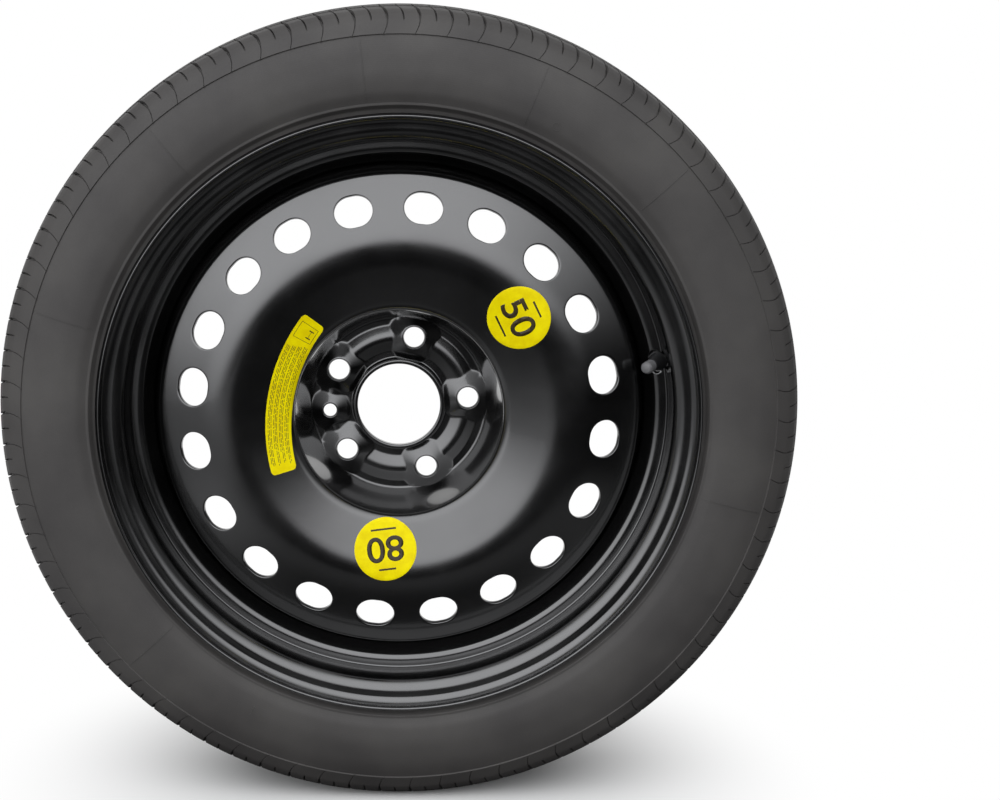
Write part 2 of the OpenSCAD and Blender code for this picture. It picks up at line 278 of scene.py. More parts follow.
def linear(hex_colour: str) -> tuple[float, float, float, float]:
    """Turns an sRGB hex colour into linear RGBA."""
    parts = [int(hex_colour[i:i + 2], 16) / 255 for i in (1, 3, 5)]
    r, g, b = (c / 12.92 if c <= 0.04045 else ((c + 0.055) / 1.055) ** 2.4 for c in parts)
    return r, g, b, 1.0


def per_metre(size_mm: float) -> float:
    """Texture scale at which one feature is about size_mm wide."""
    return 1 / (size_mm * MM)


def add_node(tree: bpy.types.NodeTree, kind: str, inputs: dict[Any, Any] | None = None,
             **settings: Any) -> bpy.types.Node:
    """Adds a node, sets it and links it.

    Args:
        tree: Node tree that takes the node.
        kind: Blender's name of the node type.
        inputs: Value, source socket or source node of each input, by name or number.
        settings: Properties of the node.

    Returns:
        The new node.
    """
    node = tree.nodes.new(kind)
    for key, value in settings.items():
        setattr(node, key, value)
    for key, value in (inputs or {}).items():
        if isinstance(value, bpy.types.Node):
            value = value.outputs[0]
        if isinstance(value, bpy.types.NodeSocket):
            tree.links.new(value, node.inputs[key])
        else:
            node.inputs[key].default_value = value
    return node


@dataclass(frozen=True)
class Finish:
    """A finish: the values on its shader, and what its nodes add."""

    name: str
    slot: str
    colour: str
    roughness: float
    metallic: float = 0.0
    ior: float = 1.5

    def material(self) -> bpy.types.Material:
        """Makes the material, or returns it where it is already made."""
        known = bpy.data.materials.get(self.name)
        if known:
            return known
        made = bpy.data.materials.new(self.name)
        made.use_nodes = True
        tree = made.node_tree
        tree.nodes.clear()
        shader = add_node(tree, "ShaderNodeBsdfPrincipled", {
            "Base Color": linear(self.colour), "Roughness": self.roughness,
            "Metallic": self.metallic, "IOR": self.ior})
        add_node(tree, "ShaderNodeOutputMaterial", {"Surface": shader})
        self.detail(tree, shader, add_node(tree, "ShaderNodeTexCoord").outputs["Object"])
        return made

    def detail(self, tree: bpy.types.NodeTree, shader: bpy.types.Node,
               where: bpy.types.NodeSocket) -> None:
        """Adds the finish's own pattern nodes; the plain finish has none."""

    def on(self, thing: bpy.types.Object) -> bpy.types.Object:
        """Puts the finish on an object and returns the object."""
        thing.data.materials.clear()
        thing.data.materials.append(self.material())
        return thing


@dataclass(frozen=True)
class BakedEnamel(Finish):
    """Black stoving enamel, dipped and baked on pressed steel.

    The dip runs out to an even, glassy film: deep black where nothing bright stands in
    front of it, with soft clean highlights, a faint orange peel and specks of dust.
    """

    peel_mm: float = 5.0
    haze_mm: float = 45.0
    speck_mm: float = 1.6
    dust: str = "#2b2b2c"

    def detail(self, tree: bpy.types.NodeTree, shader: bpy.types.Node,
               where: bpy.types.NodeSocket) -> None:
        """Adds orange peel, hazy patches and a little dust."""
        shader.inputs["Coat Weight"].default_value = 1.0
        shader.inputs["Coat Roughness"].default_value = 0.07
        peel = add_node(tree, "ShaderNodeTexNoise", {
            "Vector": where, "Scale": per_metre(self.peel_mm)})
        haze = add_node(tree, "ShaderNodeTexNoise", {
            "Vector": where, "Scale": per_metre(self.haze_mm), "Detail": 4.0})
        specks = add_node(tree, "ShaderNodeTexNoise", {
            "Vector": where, "Scale": per_metre(self.speck_mm), "Detail": 1.0})
        dull = add_node(tree, "ShaderNodeMapRange", {
            "Value": haze, "From Min": 0.3, "From Max": 0.7, "To Min": self.roughness * 0.8,
            "To Max": self.roughness * 1.3})
        dusty = add_node(tree, "ShaderNodeMapRange", {
            "Value": specks, "From Min": 0.68, "From Max": 0.78, "To Max": 0.6})
        colour = add_node(tree, "ShaderNodeMix", {
            0: dusty, 6: linear(self.colour), 7: linear(self.dust)}, data_type="RGBA")
        bent = add_node(tree, "ShaderNodeBump", {
            "Height": peel, "Distance": 0.02 * MM, "Strength": 0.6})
        tree.links.new(dull.outputs[0], shader.inputs["Roughness"])
        tree.links.new(colour.outputs[2], shader.inputs["Base Color"])
        tree.links.new(bent.outputs[0], shader.inputs["Normal"])
        tree.links.new(bent.outputs[0], shader.inputs["Coat Normal"])


@dataclass(frozen=True)
class MouldedRubber(Finish):
    """Carbon-filled rubber, vulcanised in a turned steel mould.

    It is a warm dark grey with a dull sheen. The mould's turning leaves fine rings, and a
    pale bloom makes soft cloudy patches. The real rings are finer than the picture can
    show, so they are drawn 1.6 mm apart.
    """

    bloom: str = "#4d4b49"
    ring_mm: float = 1.6
    grain_mm: float = 0.9
    cloud_mm: float = 60.0

    def detail(self, tree: bpy.types.NodeTree, shader: bpy.types.Node,
               where: bpy.types.NodeSocket) -> None:
        """Adds bloom, mould rings about the axle and a fine grain."""
        cloud = add_node(tree, "ShaderNodeTexNoise", {
            "Vector": where, "Scale": per_metre(self.cloud_mm), "Detail": 6.0})
        grain = add_node(tree, "ShaderNodeTexNoise", {
            "Vector": where, "Scale": per_metre(self.grain_mm), "Detail": 3.0})
        flat = add_node(tree, "ShaderNodeVectorMath", {0: where, 1: (1, 0, 1)},
                        operation="MULTIPLY")
        radius = add_node(tree, "ShaderNodeVectorMath", {0: flat}, operation="LENGTH")
        turns = add_node(tree, "ShaderNodeMath", {
            0: radius.outputs["Value"], 1: 2 * math.pi * per_metre(self.ring_mm)},
            operation="MULTIPLY")
        rings = add_node(tree, "ShaderNodeMath", {0: turns}, operation="SINE")
        bloomed = add_node(tree, "ShaderNodeMapRange", {
            "Value": cloud, "From Min": 0.35, "From Max": 0.7})
        colour = add_node(tree, "ShaderNodeMix", {
            0: bloomed, 6: linear(self.colour), 7: linear(self.bloom)}, data_type="RGBA")
        dull = add_node(tree, "ShaderNodeMapRange", {
            "Value": grain, "From Min": 0.3, "From Max": 0.7, "To Min": self.roughness - 0.06,
            "To Max": self.roughness + 0.08})
        ringed = add_node(tree, "ShaderNodeBump", {
            "Height": rings, "Distance": 0.012 * MM, "Strength": 0.5})
        rough = add_node(tree, "ShaderNodeBump", {
            "Height": grain, "Distance": 0.06 * MM, "Strength": 0.6, "Normal": ringed})
        tree.links.new(colour.outputs[2], shader.inputs["Base Color"])
        tree.links.new(dull.outputs[0], shader.inputs["Roughness"])
        tree.links.new(rough.outputs[0], shader.inputs["Normal"])


@dataclass(frozen=True)
class WorkedSurface(Finish):
    """Turned brass, laid weld metal or moulded polypropylene: a fine uneven skin.

    Tool marks, solidified ripples or a satin mould texture break up the shine. They are
    finer than the picture can show, so they are drawn 0.7 mm apart.
    """

    mark_mm: float = 0.7

    def detail(self, tree: bpy.types.NodeTree, shader: bpy.types.Node,
               where: bpy.types.NodeSocket) -> None:
        """Adds uneven shine and a fine bump."""
        marks = add_node(tree, "ShaderNodeTexNoise", {
            "Vector": where, "Scale": per_metre(self.mark_mm), "Detail": 3.0})
        dull = add_node(tree, "ShaderNodeMapRange", {
            "Value": marks, "From Min": 0.3, "From Max": 0.7, "To Min": self.roughness * 0.8,
            "To Max": self.roughness * 1.3})
        bent = add_node(tree, "ShaderNodeBump", {
            "Height": marks, "Distance": 0.01 * MM, "Strength": 0.5})
        tree.links.new(dull.outputs[0], shader.inputs["Roughness"])
        tree.links.new(bent.outputs[0], shader.inputs["Normal"])


@dataclass(frozen=True)
class PrintedVinyl(Finish):
    """Calendered vinyl with a screen-printed face.

    It is an even, saturated film with a satin shine and the slight ripple of a hand-laid
    sticker.
    """

    shade: str = "#f2dc00"
    ink_mm: float = 9.0
    ripple_mm: float = 14.0

    def detail(self, tree: bpy.types.NodeTree, shader: bpy.types.Node,
               where: bpy.types.NodeSocket) -> None:
        """Adds a faint unevenness of ink and a ripple."""
        ink = add_node(tree, "ShaderNodeTexNoise", {
            "Vector": where, "Scale": per_metre(self.ink_mm), "Detail": 3.0})
        share = add_node(tree, "ShaderNodeMapRange", {
            "Value": ink, "From Min": 0.35, "From Max": 0.65})
        colour = add_node(tree, "ShaderNodeMix", {
            0: share, 6: linear(self.colour), 7: linear(self.shade)}, data_type="RGBA")
        ripple = add_node(tree, "ShaderNodeTexNoise", {
            "Vector": where, "Scale": per_metre(self.ripple_mm)})
        bent = add_node(tree, "ShaderNodeBump", {
            "Height": ripple, "Distance": 0.03 * MM, "Strength": 0.5})
        tree.links.new(colour.outputs[2], shader.inputs["Base Color"])
        tree.links.new(bent.outputs[0], shader.inputs["Normal"])


class Palette(Enum):
    """The finishes of this wheel."""

    ENAMEL = BakedEnamel("baked_black_enamel", "black_paint", "#050505", 0.2, ior=1.9)
    TYRE = MouldedRubber("vulcanised_tyre_rubber", "tyre", "#403e3d", 0.6, ior=1.48)
    VALVE_RUBBER = MouldedRubber("moulded_valve_rubber", "valve_rubber", "#1a1a1b", 0.5,
                                 bloom="#242425")
    BRASS = WorkedSurface("turned_brass", "brass", "#c9a55a", 0.3, metallic=1.0)
    CAP = WorkedSurface("moulded_grey_polypropylene", "cap_plastic", "#6f6f70", 0.38)
    WELD = WorkedSurface("enamelled_weld_metal", "black_paint", "#0b0b0b", 0.4)
    YELLOW = PrintedVinyl("printed_yellow_vinyl", "yellow_vinyl", "#ffee00", 0.45, ior=1.2)
    INK = PrintedVinyl("screen_printed_ink", "yellow_vinyl", "#2a210a", 0.45, shade="#3a2d10")


def settle(thing: bpy.types.Object, finish: Finish, body: str, *nodes: str) -> bpy.types.Object:
    """Finishes a piece, sets it on its body and hides the CAD nodes it stands for.

    Args:
        thing: The piece.
        finish: Its finish.
        body: The body that carries it.
        nodes: CAD nodes that it stands for.

    Returns:
        The piece.
    """
    finish.on(thing)
    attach(thing, body)
    if nodes:
        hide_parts(*nodes)
    LOG.info("%s: %d faces on %s", thing.name, len(thing.data.polygons), body)
    return thing


# Tyre


@dataclass(frozen=True)
class BeadFit:
    """The sizes that tyre and rim share, so that the bead sits in the flange.

    Attributes:
        seat_r: Radius of the bead seat at the flange.
        half: Half width between the flanges.
        taper: Slope of the bead seat, degrees.
        curl_at: Middle of the flange's curl.
        curl_r: Radius of the curl.
    """

    seat_r: float = 218.3
    half: float = 50.8
    taper: float = 5
    curl_at: tuple[float, float] = (226.1, 60.3)
    curl_r: float = 9.5

    def seat(self, z: float) -> float:
        """Bead seat radius at a distance."""
        return self.seat_r - (self.half - z) * rise(self.taper)


@dataclass
class Tyre:
    """The moulded tyre with its tread, shoulders, walls, beads and mould marks."""

    outer_r: float
    half_w: float
    fit: BeadFit
    tread_half: float = 41.0
    crown_drop: float = 4.8
    pitches: int = 78
    main_grooves: tuple[float, float] = (29.0, 10.5)
    groove_half: float = 2.5
    groove_depth: float = 4.5
    gap: float = 0.2

    def crown(self, z: float) -> float:
        """Tread radius at a distance from the middle."""
        return self.outer_r - self.crown_drop * (z / self.tread_half) ** 2

    def wall(self) -> Section:
        """Wall section from the step line in to the rim's flange."""
        w = self.half_w + 0.48
        return fillet([
            (293.2, 57.2, 0), (283.0, 61.2, 60), (263.0, w, 60), (250.0, 62.6, 20),
            (243.2, 59.9, 0.8), (241.2, 59.9, 0.8), (238.4, 56.4, 3),
            (*self.bead()[0], 0)])

    def bead(self) -> Section:
        """Section from the flange round the heel to the toe."""
        fit = self.fit
        flange = arc(fit.curl_at, fit.curl_r, -30, -78)
        heel = fillet([(fit.curl_at[0], fit.half, 0), (fit.seat_r, fit.half, 6.5),
                       (fit.seat(33), 33, 0)])
        return shifted(np.vstack([flange, heel]), self.gap)

    def cavity(self) -> Section:
        """Inner section from the toe to the middle of the crown."""
        toe = self.bead()[-1]
        roof = self.outer_r - 11.7
        return fillet([(*toe, 0), (toe[0] + 1.5, toe[1] - 1.6, 1), (225, 35.6, 5), (237, 46, 10),
                       (262, 54.6, 40), (288, 51.2, 25), (roof - 0.9, 36, 16), (roof, 0, 0)],
                      step=10)

    def tread_rows(self) -> tuple[Section, np.ndarray]:
        """Outer section from the step line to the middle of the tread.

        Returns:
            The section's points, and how deep a main groove cuts at each.
        """
        shoulder = fillet([(293.2, 57.2, 0), (293.9, 58.0, 0.3), (304.2, 52.5, 16),
                           (309.6, 47.2, 9), (self.crown(41), 41, 7), (self.crown(36), 36, 0)],
                          step=6)
        shoulder = spaced(shoulder, 2.4)
        cut = [0.0] * len(shoulder)
        crown: list[tuple[float, float]] = []
        for z in (34, 32.6):
            crown.append((self.crown(z), z))
        cut += [0.0, 0.0]
        for middle, after in zip(self.main_grooves, ((24.0, 20.0, 16.0), (5.5, 2.5, 0.0))):
            for dz, depth in ((self.groove_half, 0.0), (self.groove_half - 0.6, 1.0),
                              (0.6 - self.groove_half, 1.0), (-self.groove_half, 0.0)):
                crown.append((self.crown(middle + dz), middle + dz))
                cut.append(depth * self.groove_depth)
            for z in after:
                crown.append((self.crown(z), z))
                cut.append(0.0)
        return np.vstack([shoulder, crown]), np.array(cut)

    def columns(self, run: float, z: float, side: int) -> np.ndarray:
        """Angles of one row's columns, twelve to a pitch, in radians.

        Args:
            run: Length along the section from the step line.
            z: Distance from the middle.
            side: 1 outboard, -1 inboard.

        Returns:
            The angles; columns 0 to 3 of a pitch hold the groove and 6 to 9 the sipe.
        """
        groove = np.interp(run, [0, 12, 17, 26, 40], [0.35, 0.5, 1.15, 1.35, 0.9])
        sipe = np.interp(run, [0, 12, 16, 40], [0.4, 0.4, 0.75, 0.6])
        if abs(z) < 26.6:
            groove, sipe = 0.6, 0.5
        bow = np.interp(run, [0, 4, 8, 12, 16, 21, 26, 31, 36, 60, 76],
                        [0, -1.9, -3.3, -3.9, -3.7, -2.9, -1.8, -0.4, 1.2, 4.0, 0.0])
        pitch = 2 * math.pi * self.outer_r / self.pitches
        gap = pitch / 2 - groove - sipe
        base = np.array([-groove, -0.4 * groove, 0.4 * groove, groove,
                         groove + gap / 3, groove + 2 * gap / 3,
                         pitch / 2 - sipe, pitch / 2 - 0.4 * sipe, pitch / 2 + 0.4 * sipe,
                         pitch / 2 + sipe, pitch / 2 + sipe + gap / 3,
                         pitch / 2 + sipe + 2 * gap / 3])
        turn = np.arange(self.pitches)[:, None] * pitch + base[None, :] + side * bow
        return (turn / self.outer_r).ravel()

    def cuts(self, run: float, z: float) -> np.ndarray:
        """Depth of each of a pitch's twelve columns at one row."""
        groove = np.interp(run, [0, 1.0, 6, 13, 18, 26, 40], [0, 0.6, 0.9, 1.0, 2.2, 3.0, 3.0])
        sipe = np.interp(run, [0, 13, 14.4, 18, 40], [0, 0, 1.3, 2.2, 2.4])
        if abs(z) < 26.6:
            groove, sipe = 2.2, 1.4
        if abs(z) < 8.1:
            groove, sipe = 1.6, 1.6
        depth = np.zeros(12)
        depth[1:3], depth[7:9] = groove, sipe
        return depth

    def build(self) -> bpy.types.Object:
        """Builds the tyre as one closed skin."""
        skin = Skin()
        half, cut = self.tread_rows()
        run = np.append(0, np.cumsum(np.linalg.norm(np.diff(half, axis=0), axis=1)))
        inward = normals_of(half)
        rows: list[np.ndarray] = []
        bars = np.arange(self.pitches * 12) % (self.pitches * 2) < 7
        for side in (1, -1):
            order = range(len(half)) if side > 0 else range(len(half) - 2, -1, -1)
            for i in order:
                r, z = half[i]
                lateral = np.tile(self.cuts(run[i], z), self.pitches)
                main = np.where(bars, np.minimum(cut[i], 2.9), cut[i])
                depth = np.maximum(lateral, main)
                n = inward[i]
                angle = self.columns(run[i], z, side)
                rows.append(skin.add(about_axle(r + n[0] * depth * self.way(n), angle,
                                                side * (z + n[1] * depth * self.way(n)))))
        for a, b in zip(rows, rows[1:]):
            skin.strip(a, b)
        wall, bead, cavity = spaced(self.wall(), 3.2), self.bead(), spaced(self.cavity(), 6)
        out_ring, in_ring = (self.columns(0, half[0][1], side)[::2] for side in (1, -1))
        outer = [skin.add(about_axle(r, out_ring, z)) for r, z in np.vstack([wall[1:], bead[1:]])]
        inner = [skin.add(about_axle(r, in_ring, -z)) for r, z in np.vstack([wall[1:], bead[1:]])]
        for first, ring in ((rows[0], outer), (rows[-1], inner)):
            skin.halve(first, ring[0])
            for a, b in zip(ring, ring[1:]):
                skin.strip(a, b)
        lining = [skin.add(about_axle(r, out_ring[::2], z))
                  for r, z in np.vstack([cavity[1:], swapped(cavity)[1:-1]])]
        for a, b in zip(lining, lining[1:]):
            skin.strip(a, b)
        skin.halve(outer[-1], lining[0])
        skin.halve(inner[-1], lining[-1])
        return skin.piece("tyre_moulding", sharp=32)

    def way(self, normal: np.ndarray) -> float:
        """Sign that turns a section normal into the tyre."""
        return -1.0 if normal[0] > 0 else 1.0

    def on_wall(self, radius: np.ndarray, angle: np.ndarray) -> tuple[Points, Points]:
        """Points and outward normals of the outboard wall."""
        path = self.wall()[::-1]
        z = np.interp(radius, path[:, 0], path[:, 1])
        slope = np.interp(radius + 1, path[:, 0], path[:, 1]) - z
        angle = np.broadcast_to(angle, np.shape(radius))
        normal = about_axle(-slope, angle, np.ones_like(slope))
        return about_axle(radius, angle, z), normal / np.linalg.norm(normal, axis=-1, keepdims=True)

    def marks(self) -> bpy.types.Object:
        """Vent lines, wear marks and a plain ring that the mould leaves on the wall."""
        skin = Skin()
        for q in (130.2, 95.8, 67.4, 41.4, -14.8, 163.3, -137.1):
            at, up = self.on_wall(np.linspace(245, 291.5, 30), math.radians(q))
            skin.box_along(at, up, 0.7, -0.3, 0.35)
        at, up = self.on_wall(np.linspace(259, 267, 8), math.radians(-116.4))
        skin.box_along(at, up, 0.7, -0.3, 0.35)
        ring = np.radians(np.arange(0, 361, 20))
        at, up = self.on_wall(254 + 3 * np.cos(ring), math.radians(62.2) + 3 * np.sin(ring) / 254)
        skin.box_along(at, up, 0.6, -0.3, 0.35)
        return skin.piece("tyre_mould_marks")


# Rim


@dataclass(frozen=True)
class ValveSeat:
    """Where the valve stands on the rim's ledge, and how far it leans to the axle."""

    phase: float = 10.9
    lean: float = 30.0
    foot: tuple[float, float] = (209.3, 19.8)
    seat_r: float = 8.8

    def place(self, r: Any, angle: Any, h: Any) -> Points:
        """Frame point of a radius, an angle and a height above the rim's ledge."""
        r, angle, h = np.broadcast_arrays(r, angle, h)
        return self.outward(r * np.cos(angle), r * np.sin(angle), h)

    def outward(self, across: np.ndarray, along: np.ndarray, h: np.ndarray) -> Points:
        """Frame point of a place across and along the ledge and a height above it."""
        q, p = math.radians(self.lean), math.radians(self.phase)
        x = across * math.cos(q) - h * math.sin(q) + self.foot[0]
        z = across * math.sin(q) + h * math.cos(q) + self.foot[1]
        return np.stack([x * math.cos(p) - along * math.sin(p), -z,
                         x * math.sin(p) + along * math.cos(p)], axis=-1)

    def local(self, points: Points) -> tuple[np.ndarray, np.ndarray, np.ndarray]:
        """The reverse of outward."""
        q, p = math.radians(self.lean), math.radians(self.phase)
        x = points[..., 0] * math.cos(p) + points[..., 2] * math.sin(p) - self.foot[0]
        along = points[..., 2] * math.cos(p) - points[..., 0] * math.sin(p)
        z = -points[..., 1] - self.foot[1]
        return x * math.cos(q) + z * math.sin(q), along, z * math.cos(q) - x * math.sin(q)


@dataclass
class RimBand:
    """The rolled rim band, with a round seat pressed into its ledge for the valve."""

    seat_for: ValveSeat
    fit: BeadFit
    lip_end: float = 18.0
    sheet: float = 3.0
    well_r: float = 199.0
    seat_wall: float = 2.4
    columns: int = 400
    fine_columns: int = 48

    def section(self) -> tuple[Section, int]:
        """Closed section of the sheet, with close points where the seat is pressed in.

        Returns:
            The section, and how many of its points lie on the tyre's side.
        """
        fit = self.fit
        middle = fillet([
            (fit.curl_at[0], fit.half, 0), (fit.seat_r, fit.half, 6.5),
            (fit.seat(30), 30, 6), (fit.seat(30) + 1.0, 26.4, 5), (fit.seat_r - 2.3, 17.0, 4.5),
            (fit.seat_r - 12.1, 17.0, 4), (self.well_r, 5.5, 6), (self.well_r, -19.5, 5),
            (fit.seat_r - 0.4, -26.5, 4), (fit.seat(31.5), -31.5, 4),
            (fit.seat_r, -fit.half, 6.5), (fit.curl_at[0], -fit.half, 0)])
        lip = arc(fit.curl_at, fit.curl_r, self.lip_end, -84)
        tyre_side = np.vstack([lip, middle[1:-1], swapped(lip)])
        shown_side = shifted(tyre_side, -self.sheet)
        fine = (2.0, 34.0, 0.8)
        first = np.vstack([spaced(tyre_side, 3, fine), self.lip(shown_side[-1], tyre_side[-1])])
        second = np.vstack([spaced(shown_side[::-1], 3, fine),
                            self.lip(tyre_side[0], shown_side[0])])
        return np.vstack([first, second]), len(first)

    def lip(self, a: np.ndarray, b: np.ndarray) -> Section:
        """A round edge between the two faces of the sheet, without its ends."""
        mid, arm = (a + b) / 2, (b - a) / 2
        out = np.array([-arm[1], arm[0]])
        q = np.radians(np.linspace(0, 180, 7))[1:-1, None]
        return mid + arm * np.cos(q) + out * np.sin(q)

    def angles(self) -> np.ndarray:
        """Column angles in radians, close together where the seat is pressed in."""
        middle, reach = math.radians(self.seat_for.phase), math.radians(5)
        near = middle + np.linspace(-reach, reach, self.fine_columns + 1)
        rest = np.linspace(middle + reach, middle - reach + 2 * math.pi, self.columns)
        return np.append(near, rest[1:-1])

    def pressed(self, points: Points, under: float) -> Points:
        """Presses the valve's flat round seat into one face of the sheet.

        Args:
            points: Points of the face.
            under: How far the face lies under the shown one.

        Returns:
            The points, with the seat's floor and its steep, rounded wall.
        """
        across, along, high = self.seat_for.local(points)
        out = np.hypot(across, along)
        reach = self.seat_for.seat_r + under
        cut = softened(high + under - self.seat_wall * np.maximum(out - reach, 0), 1.2)
        cut = np.where((out < reach + 4) & (high < 14), cut, 0)
        return self.seat_for.outward(across, along, high - cut)

    def build(self) -> bpy.types.Object:
        """Builds the band."""
        loop, tyre_rows = self.section()
        band = lathe(loop, self.angles())
        band.points = [self.pressed(row, self.sheet if i < tyre_rows else 0.0)
                       for i, row in enumerate(band.points)]
        return band.piece("rim_band", sharp=50)


# Wheel disc


@dataclass(frozen=True)
class Punch:
    """A hole through the disc.

    Attributes:
        angle: Where it stands round the wheel, degrees.
        radius: Radius of the circle it stands on.
        tilt: Lean of the tool, degrees.
        straight: Half length of the straight part along the circle.
        front: Reach and sink of each ring on the outboard side, the last one the deepest.
        back: The same for the inboard side.
        spread: Half width of the patch round it, degrees.
    """

    angle: float
    radius: float
    tilt: float
    straight: float
    front: tuple[tuple[float, float], ...]
    back: tuple[tuple[float, float], ...]
    spread: float

    def outline(self, reach: float, heading: np.ndarray) -> tuple[np.ndarray, np.ndarray]:
        """Up-slope and sideways places where rays from the middle meet the outline."""
        du, dv = np.cos(heading), np.sin(heading)
        h = self.straight
        flat = reach / np.maximum(np.abs(du), 1e-9)
        along = np.abs(dv) * h
        bowed = along + np.sqrt(np.maximum(along ** 2 - h ** 2 + reach ** 2, 0))
        s = np.where(flat * np.abs(dv) <= h, flat, bowed)
        return s * du, s * dv


@dataclass
class WheelDisc:
    """The pressed disc with its hub, bowl, bolt pads, seats and vents."""

    sheet: float = 3.5
    hub_z: float = -11.5
    bore_r: float = 33.3
    bolt_circle_r: float = 56.0
    bolt_r: float = 8.1
    bolt_count: int = 5
    bolt_phase: float = 5.5
    pad_h: float = 6.6
    pad_r: float = 9.6
    pad_slope: float = 0.55
    pin_pad: tuple[float, float] = (6.4, 5.8)
    pin_r: float = 5.2
    lip_h: float = 6.5
    pin_phase: float = 185.0
    inner_slope: float = 13.0
    outer_slope: float = 24.0
    bowl_r: float = 83.0
    crest_r: float = 138.0
    edge_r: float = 189.8
    rim_r: float = 196.0
    weld_flange: float = 12.0
    vent_count: int = 20
    vent_r: float = 163.3
    vent_w: float = 26.0
    vent_len: float = 30.0
    vent_phase: float = 110.3
    vent_slip: tuple[float, ...] = (1.2, 0.55, -1.0, 0, 0, -0.1, -0.6, -0.2, 0, 0)
    columns: int = 360
    hub_rows: tuple[float, float] = (41.6, 70.4)
    vent_rows: tuple[float, float] = (147.2, 179.4)
    vent_spread: float = 6.8
    pin_trim: tuple[int, int] = (8, 9)

    def __post_init__(self) -> None:
        """Works out the two faces of the sheet."""
        bowl_z = self.hub_z + 48.6
        crest_z = bowl_z + (self.crest_r - self.bowl_r) * rise(self.inner_slope)
        edge_z = crest_z - (self.edge_r - self.crest_r) * rise(self.outer_slope)
        self.lip_z = self.hub_z + self.lip_h
        lip_out = self.bore_r + self.sheet
        corners = [
            (lip_out, self.lip_z, 0.0), (lip_out, self.hub_z, 2.0), (43.5, self.hub_z, 4.0),
            (54.0, self.hub_z + 3.4, 13.0), (64.5, self.hub_z, 4.0), (71.0, self.hub_z, 2.2),
            (self.bowl_r, bowl_z, 9.0),
            (self.crest_r, crest_z, 60.0), (self.edge_r, edge_z, 7.0), (self.rim_r, 4.0, 15.0),
            (self.rim_r, -self.weld_flange, 0.0)]
        self.front = fillet(corners, step=4)
        self.back = self.inside(self.front)

    def inside(self, path: Section) -> Section:
        """The inboard face of the sheet, cleaned of folds at its tight corners."""
        moved = shifted(path, -self.sheet)
        keep = [moved[0]]
        for p in moved[1:]:
            if p[0] >= keep[-1][0] - 1e-6:
                keep.append(p)
        return np.array(keep)

    def height(self, path: Section, r: np.ndarray) -> np.ndarray:
        """Distance of a face at given radii."""
        return np.interp(r, path[:, 0], path[:, 1])

    def lifted(self, r: np.ndarray, angle: np.ndarray, z: np.ndarray, drop: float) -> np.ndarray:
        """Distance with the bolt pads and the pin pad pressed up.

        Args:
            r: Radii of the places.
            angle: Angles of the places, radians.
            z: Distance of the plain face there.
            drop: How far the face lies behind the outboard one.

        Returns:
            The distances, blended over half a millimetre.
        """
        x, y = r * np.cos(angle), r * np.sin(angle)
        shrink = drop * 0.236
        pads = [(self.bolt_phase + k * 360 / self.bolt_count, self.pad_r, self.pad_h)
                for k in range(self.bolt_count)] + [(self.pin_phase, *self.pin_pad)]
        for q, top_r, tall in pads:
            q = math.radians(q)
            d = np.hypot(x - self.bolt_circle_r * math.cos(q), y - self.bolt_circle_r * math.sin(q))
            near = (d < top_r + tall / self.pad_slope + 2) & (r < self.bowl_r - 2)
            cone = tall - softened((d - top_r + shrink) * self.pad_slope, 0.3)
            top = self.hub_z - drop + cone
            z = np.where(near, z + softened(top - z, 0.5), z)
        return z

    def vent_angles(self) -> list[float]:
        """Angles of the vents, two to each press stroke, in the disc's column order."""
        pairs = self.vent_count // 2
        return [self.vent_phase + (i + s / 2) * 360 / pairs + self.vent_slip[i]
                for i in range(pairs) for s in (-0.5, 0.5)]

    def burr(self, r: float) -> tuple[tuple[float, float], ...]:
        """Inboard edge that the punch leaves round a hole of radius r."""
        return (r + 0.5, 0), (r + 0.1, 0.1), (r, 0.4)

    def punches(self) -> tuple[list[Punch], list[Punch]]:
        """The holes of the hub and the vents."""
        b, p, w = self.bolt_r, self.pin_r, self.vent_w / 2
        seat = ((b + 1.25, 0), (b + 0.95, 0.1), (b + 0.75, 0.35), (b + 0.1, 2.2), (b, 2.6))
        pin = ((p + 1.1, 0), (p + 0.8, 0.1), (p + 0.3, 0.4), (p, 1.0))
        edge = ((w + 1.2, 0), (w + 0.55, 0.06), (w + 0.15, 0.35), (w, 0.9))
        hub = [Punch(self.bolt_phase + k * 360 / self.bolt_count, self.bolt_circle_r, 0, 0,
                     seat, ((b + 0.8, 0), (b + 0.2, 0.0), (b, 0.1)), 15)
               for k in range(self.bolt_count)]
        hub.append(Punch(self.pin_phase, self.bolt_circle_r, 0, 0, pin, self.burr(p), 8.5))
        straight = (self.vent_len - self.vent_w) / 2
        vents = [Punch(q, self.vent_r, self.outer_slope, straight, edge, self.burr(w),
                       self.vent_spread)
                 for q in self.vent_angles()]
        return hub, vents

    def rows(self, path: Section) -> tuple[Section, tuple[int, int], tuple[int, int]]:
        """Rows of one face, with even rows where holes are patched in.

        Returns:
            The rows, and the first and last row number of the hub's and the vents' patches.
        """
        hub = np.arange(self.hub_rows[0], self.hub_rows[1] + 0.1, 0.8)
        vent = np.linspace(self.vent_rows[0], self.vent_rows[1], 14)
        even_hub, even_vent = (np.stack([r, self.height(path, r)], axis=1) for r in (hub, vent))
        inner = path[path[:, 0] < hub[0] - 0.3]
        middle = path[(path[:, 0] > hub[-1] + 0.3) & (path[:, 0] < vent[0] - 1)]
        outer = path[path[:, 0] > vent[-1] + 1]
        start = spaced(np.vstack([inner, even_hub[:1]]), 1.2)[:-1]
        mid = spaced(np.vstack([even_hub[-1:], middle, even_vent[:1]]), 2.6)[1:-1]
        end = spaced(np.vstack([even_vent[-1:], outer]), 2.4)[1:]
        a, b = len(start), len(start) + len(hub)
        c = b + len(mid)
        rows = np.vstack([start, even_hub, mid, even_vent, end])
        return rows, (a, b - 1), (c, c + len(vent) - 1)

